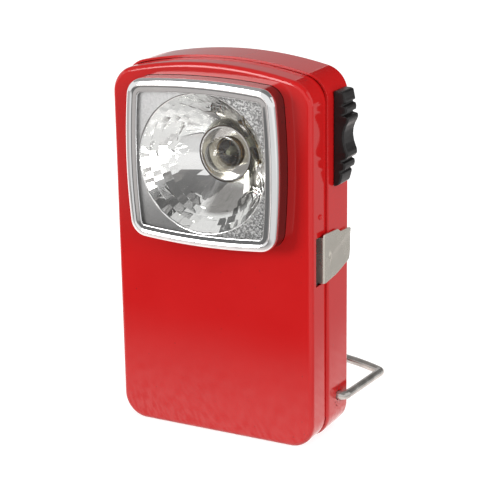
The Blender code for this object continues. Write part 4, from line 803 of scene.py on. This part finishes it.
def wire(name, points, radius):
    """A round wire through the points, as a mesh with closed ends."""
    curve = bpy.data.curves.new(name, "CURVE")
    curve.dimensions = "3D"
    curve.bevel_depth = radius
    curve.bevel_resolution = 5
    curve.use_fill_caps = True
    curve.twist_mode = "MINIMUM"
    spline = curve.splines.new("POLY")
    spline.points.add(len(points) - 1)
    for point, place in zip(spline.points, points):
        point.co = (*place, 1)
    holder = bpy.data.objects.new(name + "_path", curve)
    bpy.context.scene.collection.objects.link(holder)
    bpy.context.view_layer.update()
    view = bpy.context.evaluated_depsgraph_get()
    mesh = bpy.data.meshes.new_from_object(holder.evaluated_get(view))
    bpy.data.objects.remove(holder)
    shape = bmesh.new()
    shape.from_mesh(mesh)
    bpy.data.meshes.remove(mesh)
    bmesh.ops.remove_doubles(shape, verts=shape.verts, dist=radius / 100)
    return new_piece(name, shape)


cap_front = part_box("bulb_cap")[0].y
spread = 0.0026
post_bend = 0.0022
post_root = 0.0024
post_depth = 0.0030
post_radius = 0.00019
coil_ahead = 0.0002
coil_turns = 16
coil_steps = 160
coil_radius = 0.00013
coil_sag = 0.0004
thread_radius = 0.00004
post_end = ball_middle - coil_ahead
posts = []
for side in (-1, 1):
    route = [(post_root, cap_front + post_depth), (post_bend, cap_front), (spread, post_end)]
    posts.append(wire("post", [(side * x, y, lamp_height) for x, y in route], post_radius))
coil = []
for share in [step / coil_steps for step in range(coil_steps + 1)]:
    turn = 2 * math.pi * coil_turns * share
    y = post_end - coil_sag * math.sin(math.pi * share) + coil_radius * math.cos(turn)
    coil.append((spread * (2 * share - 1), y, lamp_height + coil_radius * math.sin(turn)))
filament = wire("bulb_wires", coil, thread_radius)
add_to(filament, posts)
tungsten, metal = new_material("dark_wire")
spot = metal.node("TexCoord", output="Object")
drawn = spot.noise(900.0, 2.0)
set_shader(tungsten, {
    "Base Color": drawn.colours((0.16, 0.15, 0.14), (0.30, 0.29, 0.28)),
    "Metallic": 1.0,
    "Roughness": 0.35,
})
fit(filament, tungsten, "front_case", ["bulb_filament"], 60)

# Switch: a thumb grip moulded in black plastic, with ribs at both ends and a hollow between.
# Its stem goes through the slot in the rear tray to the moving contact.
grip_length = slider_high.z - slider_low.z
grip_base = half_case + gap
grip_rise = slider_high.x - half_case
grip_half = (slider_high.y - slider_low.y) / 2
grip_edge = 0.00055
least_grip = 0.0002
stem_bite = 0.0002
grip_rows = 240
grip_offsets = [grip_half * math.sin(math.pi / 2 * (step / 10 - 1)) for step in range(21)]
grip_shares = (
    (0.000, 0.30), (0.030, 0.44), (0.085, 0.54), (0.130, 0.58), (0.145, 0.50), (0.165, 0.48),
    (0.180, 0.74), (0.215, 0.79), (0.245, 0.77), (0.258, 0.60), (0.280, 0.58), (0.292, 0.84),
    (0.320, 0.94), (0.355, 0.93), (0.400, 0.83), (0.455, 0.72), (0.515, 0.67), (0.570, 0.69),
    (0.630, 0.80), (0.680, 0.95), (0.710, 1.00), (0.735, 0.97), (0.748, 0.64), (0.768, 0.63),
    (0.780, 0.85), (0.815, 0.87), (0.842, 0.83), (0.855, 0.64), (0.872, 0.65), (0.885, 0.79),
    (0.930, 0.75), (0.985, 0.68), (1.000, 0.60),
)


def eased(points, share):
    """The height of a table at a share of its length, each stretch joined to the next without a kink."""
    for index in range(len(points) - 1):
        (start, low), (end, high) = points[index], points[index + 1]
        if share <= end:
            before = points[max(index - 1, 0)]
            after = points[min(index + 2, len(points) - 1)]
            step = (share - start) / (end - start)
            limit = abs(high - low)
            lead = max(-limit, min(limit, (high - before[1]) * (end - start) / (end - before[0])))
            trail = max(-limit, min(limit, (after[1] - low) * (end - start) / (after[0] - start)))
            return (
                low * (2 * step ** 3 - 3 * step ** 2 + 1) + lead * (step ** 3 - 2 * step ** 2 + step)
                + high * (3 * step ** 2 - 2 * step ** 3) + trail * (step ** 3 - step ** 2)
            )
    return points[-1][1]


def edge_drop(from_edge):
    """How far the grip's rounded edge falls below its face, so far in from the edge."""
    rounded = max(0.0, grip_edge - from_edge)
    return grip_edge - math.sqrt(grip_edge ** 2 - rounded ** 2)


shape = bmesh.new()
grid = []
for share in [row / grip_rows for row in range(grip_rows + 1)]:
    along = grip_length * share
    line = []
    for offset in grip_offsets:
        drop = edge_drop(min(along, grip_length - along)) + edge_drop(grip_half - abs(offset))
        rise = max(grip_rise * eased(grip_shares, share) - drop, gap + least_grip)
        line.append(shape.verts.new((half_case + rise, rear_middle + offset, slider_low.z + along)))
    grid.append(line)
join_lines(shape, grid, False)
border = grid[0] + [line[-1] for line in grid[1:]]
border += grid[-1][-2::-1] + [line[0] for line in grid[-2:0:-1]]
feet = [shape.verts.new((grip_base, vert.co.y, vert.co.z)) for vert in border]
join_lines(shape, [border, feet], True)
shape.faces.new(feet)
grip = new_piece("thumb_grip", shape)
stem = block(
    (slider_low.x, rear_middle - stem_half, switch_height - stem_half),
    (grip_base + stem_bite, rear_middle + stem_half, switch_height + stem_half),
)
add_to(grip, [stem])
plastic, moulding = new_material("black_plastic")
spot = moulding.node("TexCoord", output="Object")
mottle = spot.noise(500.0, 4.0)
handled = spot.noise(120.0, 2.0)
set_shader(plastic, {
    "Base Color": mottle.colours((0.005, 0.004, 0.004), (0.011, 0.009, 0.009)),
    "Roughness": handled.between(0.3, 0.7) * 0.14 + 0.28,
    "Specular IOR Level": 0.38,
    "Normal": mottle.bump(0.000010),
})
fit(grip, plastic, "switch", ["switch_slider"], 40)

# Latch: a stamped spring plate, nickel plated, that turns on a pin inside the front tray.
# Its leg comes out through the slot and its plate lies over the seam, with a pressed pip to lift it by.
latch_sheet = 0.0005
latch_half = 0.0073
latch_bevel = 0.00009
stations = 68
bend = 0.00060
bend_share = 0.8
curl_middle = 0.00085
curl_reach = 0.0011
pip_room = 0.0005
pip_rise = 0.00042
pip_width = 0.0015
pip_height = 0.0021
pip_steepness = 1.6
crease_rise = 0.00020
crease_start = 0.002
crease_middle = 0.0004
crease_width = 0.0022
crease_slope = 0.30
top_shares = (
    (0.00, 1.03), (0.04, 1.09), (0.50, 1.00), (0.56, 0.92), (0.61, 0.82), (0.97, 0.755), (1.00, 0.70),
)
base_shares = ((0.00, 1.12), (0.47, 1.00), (0.80, 0.80), (0.90, 0.74), (0.965, 0.66), (1.00, 0.25))
latch_middle = latch_high.x - pip_room - latch_sheet / 2
leg_line = latch_low.y + latch_sheet / 2
plate_length = latch_high.y - latch_low.y
pin_axis = (latch_low.x + curl_reach, latch_low.y + curl_reach)


def on_table(points, share):
    """The value of a table of (share, value) points, straight between them."""
    for (start, low), (end, high) in zip(points, points[1:]):
        if share <= end:
            return low + (high - low) * (share - start) / (end - start)
    return points[-1][1]


path = arc(pin_axis, curl_middle, math.radians(-330), math.radians(-90), 28)
corner = (latch_middle - bend, leg_line + bend)
path += [(pin_axis[0] + (corner[0] - pin_axis[0]) * step / 5, leg_line) for step in range(1, 6)]
path += arc(corner, bend, math.radians(-90), 0, 8)[1:]
plate_start = path[-1][1]
plate_reach = latch_high.y - plate_start
path += [(latch_middle, plate_start + plate_reach * step / stations) for step in range(1, stations + 1)]
shape = bmesh.new()
grid = []
for x, y in path:
    share = (y - latch_low.y) / plate_length
    on_plate = x > latch_middle - bend * bend_share
    high = latch_half * on_table(top_shares, share) if on_plate else leg_half - leg_drop
    low = -latch_half * on_table(base_shares, share if on_plate else 0)
    past_seam = y - seam
    crease_grows = min(1.0, max(0.0, past_seam) / crease_start)
    line = []
    for step in range(49):
        z = low + (high - low) * step / 48
        pip = max(0.0, 1 - abs(z) / pip_height - abs(past_seam) / pip_width)
        from_crease = abs(z - crease_middle - crease_slope * past_seam)
        crease = max(0.0, 1 - from_crease / crease_width) * crease_grows
        lift = max(pip_rise * min(1.0, pip * pip_steepness), crease_rise * crease) if on_plate else 0.0
        line.append(shape.verts.new((x + lift, y, latch_height + z)))
    grid.append(line)
join_lines(shape, grid, False)
latch = new_piece("latch_plate", shape)
thick = latch.modifiers.new("sheet", "SOLIDIFY")
thick.thickness = latch_sheet
thick.offset = 0
eased_edge = latch.modifiers.new("edge", "BEVEL")
eased_edge.width = latch_bevel
eased_edge.segments = 2
eased_edge.limit_method = "ANGLE"
eased_edge.angle_limit = math.radians(60)
bpy.context.view_layer.update()
latch.data = bpy.data.meshes.new_from_object(latch.evaluated_get(bpy.context.evaluated_depsgraph_get()))
latch.modifiers.clear()

nickel, plated = new_material("nickel_plate")
spot = plated.node("TexCoord", output="Object")
bloom = spot.noise(160.0, 4.0)
rolled = plated.node("Mapping", None, {"Vector": spot, "Scale": (1, 1, 14)})
lines = rolled.noise(260.0, 3.0)
set_shader(nickel, {
    "Base Color": bloom.colours((0.56, 0.52, 0.45), (0.72, 0.68, 0.61)),
    "Metallic": 0.82,
    "Roughness": bloom.between(0.35, 0.7) * 0.12 + 0.20,
    "Normal": lines.bump(0.000004),
})
fit(latch, nickel, "latch", ["latch_clip"], 40)

# Rivet of the latch's bracket: it holds the bracket inside the front tray's wall.
# Its small round head is the pip above the slot, enamelled with the tray it sits on.
rivet_low, rivet_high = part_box("latch_rivet")
head_middle = ((rivet_low.y + rivet_high.y) / 2, (rivet_low.z + rivet_high.z) / 2)
head_radius = (rivet_high.z - rivet_low.z) / 2
head_rise = rivet_high.x - half_front
shank = head_radius / 2
profile = [(shank, rivet_low.x), (shank, half_front), (head_radius, half_front)]
for turn in [math.radians(88) * step / 8 for step in range(1, 9)]:
    profile.append((head_radius * math.cos(turn), half_front + head_rise * math.sin(turn)))
rings = [[(x, y, z) for y, z in circle(head_middle, radius, 32)] for radius, x in profile]
rivet_head = skin("latch_rivet_head", rings, True)
fit(rivet_head, enamel, "front_case", ["latch_rivet"])

# Bail: steel wire bent to a bow, nickel plated, its ends sprung into two holes of the rear tray.
bail_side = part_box("wire_bail")[1].x - wire_radius
leg_length = 0.0307
bow = 0.0110
droop = math.radians(4)
corner_round = 0.0026
elbow = 0.0022
end_reach = 0.0030
bow_low, bow_radius = crown_circle(bail_side, leg_length + bow, bow)
corner_across = bail_side - corner_round
corner_out = bow_low + math.sqrt((bow_radius - corner_round) ** 2 - corner_across ** 2)
bow_turn = math.atan2(corner_out - bow_low, corner_across)
half_route = [(half_case - sheet_metal - end_reach, 0)]
half_route += arc((bail_side - elbow, elbow), elbow, math.radians(-90), 0, 12)
half_route += arc((corner_across, corner_out), corner_round, 0, bow_turn, 16)
bow_route = arc((0, bow_low), bow_radius, bow_turn, math.pi - bow_turn, 60)[1:-1]
route = half_route + bow_route + [(-x, y) for x, y in reversed(half_route)]
tilt = Matrix.Rotation(-droop, 4, "X")
hole = Vector((0, rear_middle, bail_height))
bow_wire = wire("bail_wire", [hole + tilt @ Vector((x, y, 0)) for x, y in route], wire_radius)
wire_plate, finish = new_material("wire_plate")
spot = finish.node("TexCoord", output="Object")
tarnish = spot.noise(220.0, 4.0)
drawing = finish.node("Mapping", None, {"Vector": spot, "Scale": (1, 0.15, 1)})
die_marks = drawing.noise(1600.0, 2.0)
set_shader(wire_plate, {
    "Base Color": tarnish.between(0.3, 0.7).colours((0.40, 0.385, 0.36), (0.60, 0.58, 0.55)),
    "Metallic": 0.75,
    "Roughness": tarnish.between(0.35, 0.7) * 0.14 + 0.12,
    "Normal": die_marks.bump(0.000006),
})
fit(bow_wire, wire_plate, "bail", ["wire_bail"], 60)

# Metal inside: contacts of stamped brass, the bulb's plated holder, plain steel and the nickelled hinge.
# These pieces keep the frame's own shapes, with smooth shading, and get only their finishes here.
def dress(nodes, material):
    """Rounds the frame's own pieces off with smooth shading and gives them their material."""
    for node in nodes:
        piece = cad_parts[node]
        if "custom_normal" in piece.data.attributes:
            piece.data.attributes.remove(piece.data.attributes["custom_normal"])
        piece.data.materials.clear()
        piece.data.materials.append(material)
        weld = piece.modifiers.new("weld", "WELD")
        weld.merge_threshold = 0.00001
        for face in piece.data.polygons:
            face.use_smooth = True
        split = piece.modifiers.new("edges", "EDGE_SPLIT")
        split.split_angle = math.radians(35)


def metal_material(name, dark, light, rough, scale, metallic=1.0):
    """A plain metal with slight stains and the fine marks of rolling or drawing."""
    material, maker = new_material(name)
    place = maker.node("TexCoord", output="Object")
    stain = place.noise(scale, 4.0)
    marks = place.noise(scale * 9, 2.0)
    set_shader(material, {
        "Base Color": stain.colours(dark, light),
        "Metallic": metallic,
        "Roughness": stain.between(0.3, 0.7) * 0.15 + rough,
        "Normal": marks.bump(0.000005),
    })
    return material


brass = metal_material("stamped_brass", (0.62, 0.42, 0.16), (0.76, 0.56, 0.26), 0.18, 150.0)
holder_plate = metal_material("plated_holder", (0.88, 0.87, 0.83), (0.95, 0.94, 0.92), 0.08, 150.0, 0.85)
steel = metal_material("bright_steel", (0.46, 0.46, 0.46), (0.60, 0.60, 0.59), 0.25, 180.0)
dress([
    "bulb_cap", "contact_strip", "contact_rivet", "battery_terminal_short", "battery_terminal_long",
    "switch_plate", "switch_rivet_lower", "switch_rivet_upper", "switch_bridge",
], brass)
dress(["bulb_holder"], holder_plate)
dress(["retaining_frame", "bulb_tip", "hinge_pin", "latch_bracket", "latch_pin", "switch_pin"], steel)
dress([
    "hinge_leaf_front", "hinge_leaf_rear", "hinge_rivet_front_lower", "hinge_rivet_front_upper",
    "hinge_rivet_rear_lower", "hinge_rivet_rear_upper",
], nickel)

# Matt pieces inside: boards and the insulating card in brown fibre, the battery's lid of black pitch,
# the black glass that closes the bulb's cap, and the glass bead that holds its two wires apart.
# They keep the frame's own shapes too.
def matt_material(name, dark, light, rough, scale, depth):
    """Fibre, card or seal: mottled, matt and slightly rough to the touch."""
    material, maker = new_material(name)
    place = maker.node("TexCoord", output="Object")
    blotch = place.noise(scale, 5.0)
    threads = place.noise(scale * 12, 3.0)
    set_shader(material, {
        "Base Color": (blotch * 0.6 + threads * 0.4).colours(dark, light),
        "Roughness": rough,
        "Normal": threads.bump(depth),
    })
    return material


fibre = matt_material("brown_fibre", (0.16, 0.06, 0.03), (0.30, 0.13, 0.06), 0.6, 220.0, 0.00003)
seal = matt_material("black_seal", (0.012, 0.012, 0.012), (0.035, 0.034, 0.033), 0.45, 300.0, 0.00008)
bead = matt_material("bead_glass", (0.26, 0.28, 0.20), (0.44, 0.46, 0.34), 0.12, 400.0, 0.00001)
dress(["contact_board", "battery_liner", "switch_board"], fibre)
dress(["battery_lid", "bulb_vitrite"], seal)
dress(["bulb_stem"], bead)

# Battery's jacket: plain blue card with one pale band, rubbed here and there.
# The battery only lies in its place in the rear tray, and its jacket keeps the frame's own shape.
battery_low, battery_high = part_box("battery_jacket")
blue = (0.035, 0.085, 0.22)
dull_blue = (0.030, 0.075, 0.20)
cream = (0.62, 0.56, 0.42)
jacket, sleeve = new_material("battery_card")
spot = sleeve.node("TexCoord", output="Object")
from_base = spot.along("Z") - battery_low.z
up_jacket = from_base * (1 / (battery_high.z - battery_low.z))
stops = [(0.0, blue), (0.30, blue), (0.305, cream), (0.345, cream), (0.35, blue), (0.90, dull_blue)]
bands = sleeve.node("ValToRGB", {"stops": stops}, {0: up_jacket})
weave = spot.noise(1400.0, 4.0)
worn = spot.noise(90.0, 5.0)
set_shader(jacket, {
    "Base Color": (worn.between(0.62, 0.75) * 0.5).colours(bands, (0.30, 0.27, 0.22)),
    "Roughness": 0.55,
    "Normal": weave.bump(0.00002),
})
dress(["battery_jacket"], jacket)

# Colours of the picture are kept plain, with the standard view transform.
bpy.context.scene.view_settings.view_transform = "Standard"
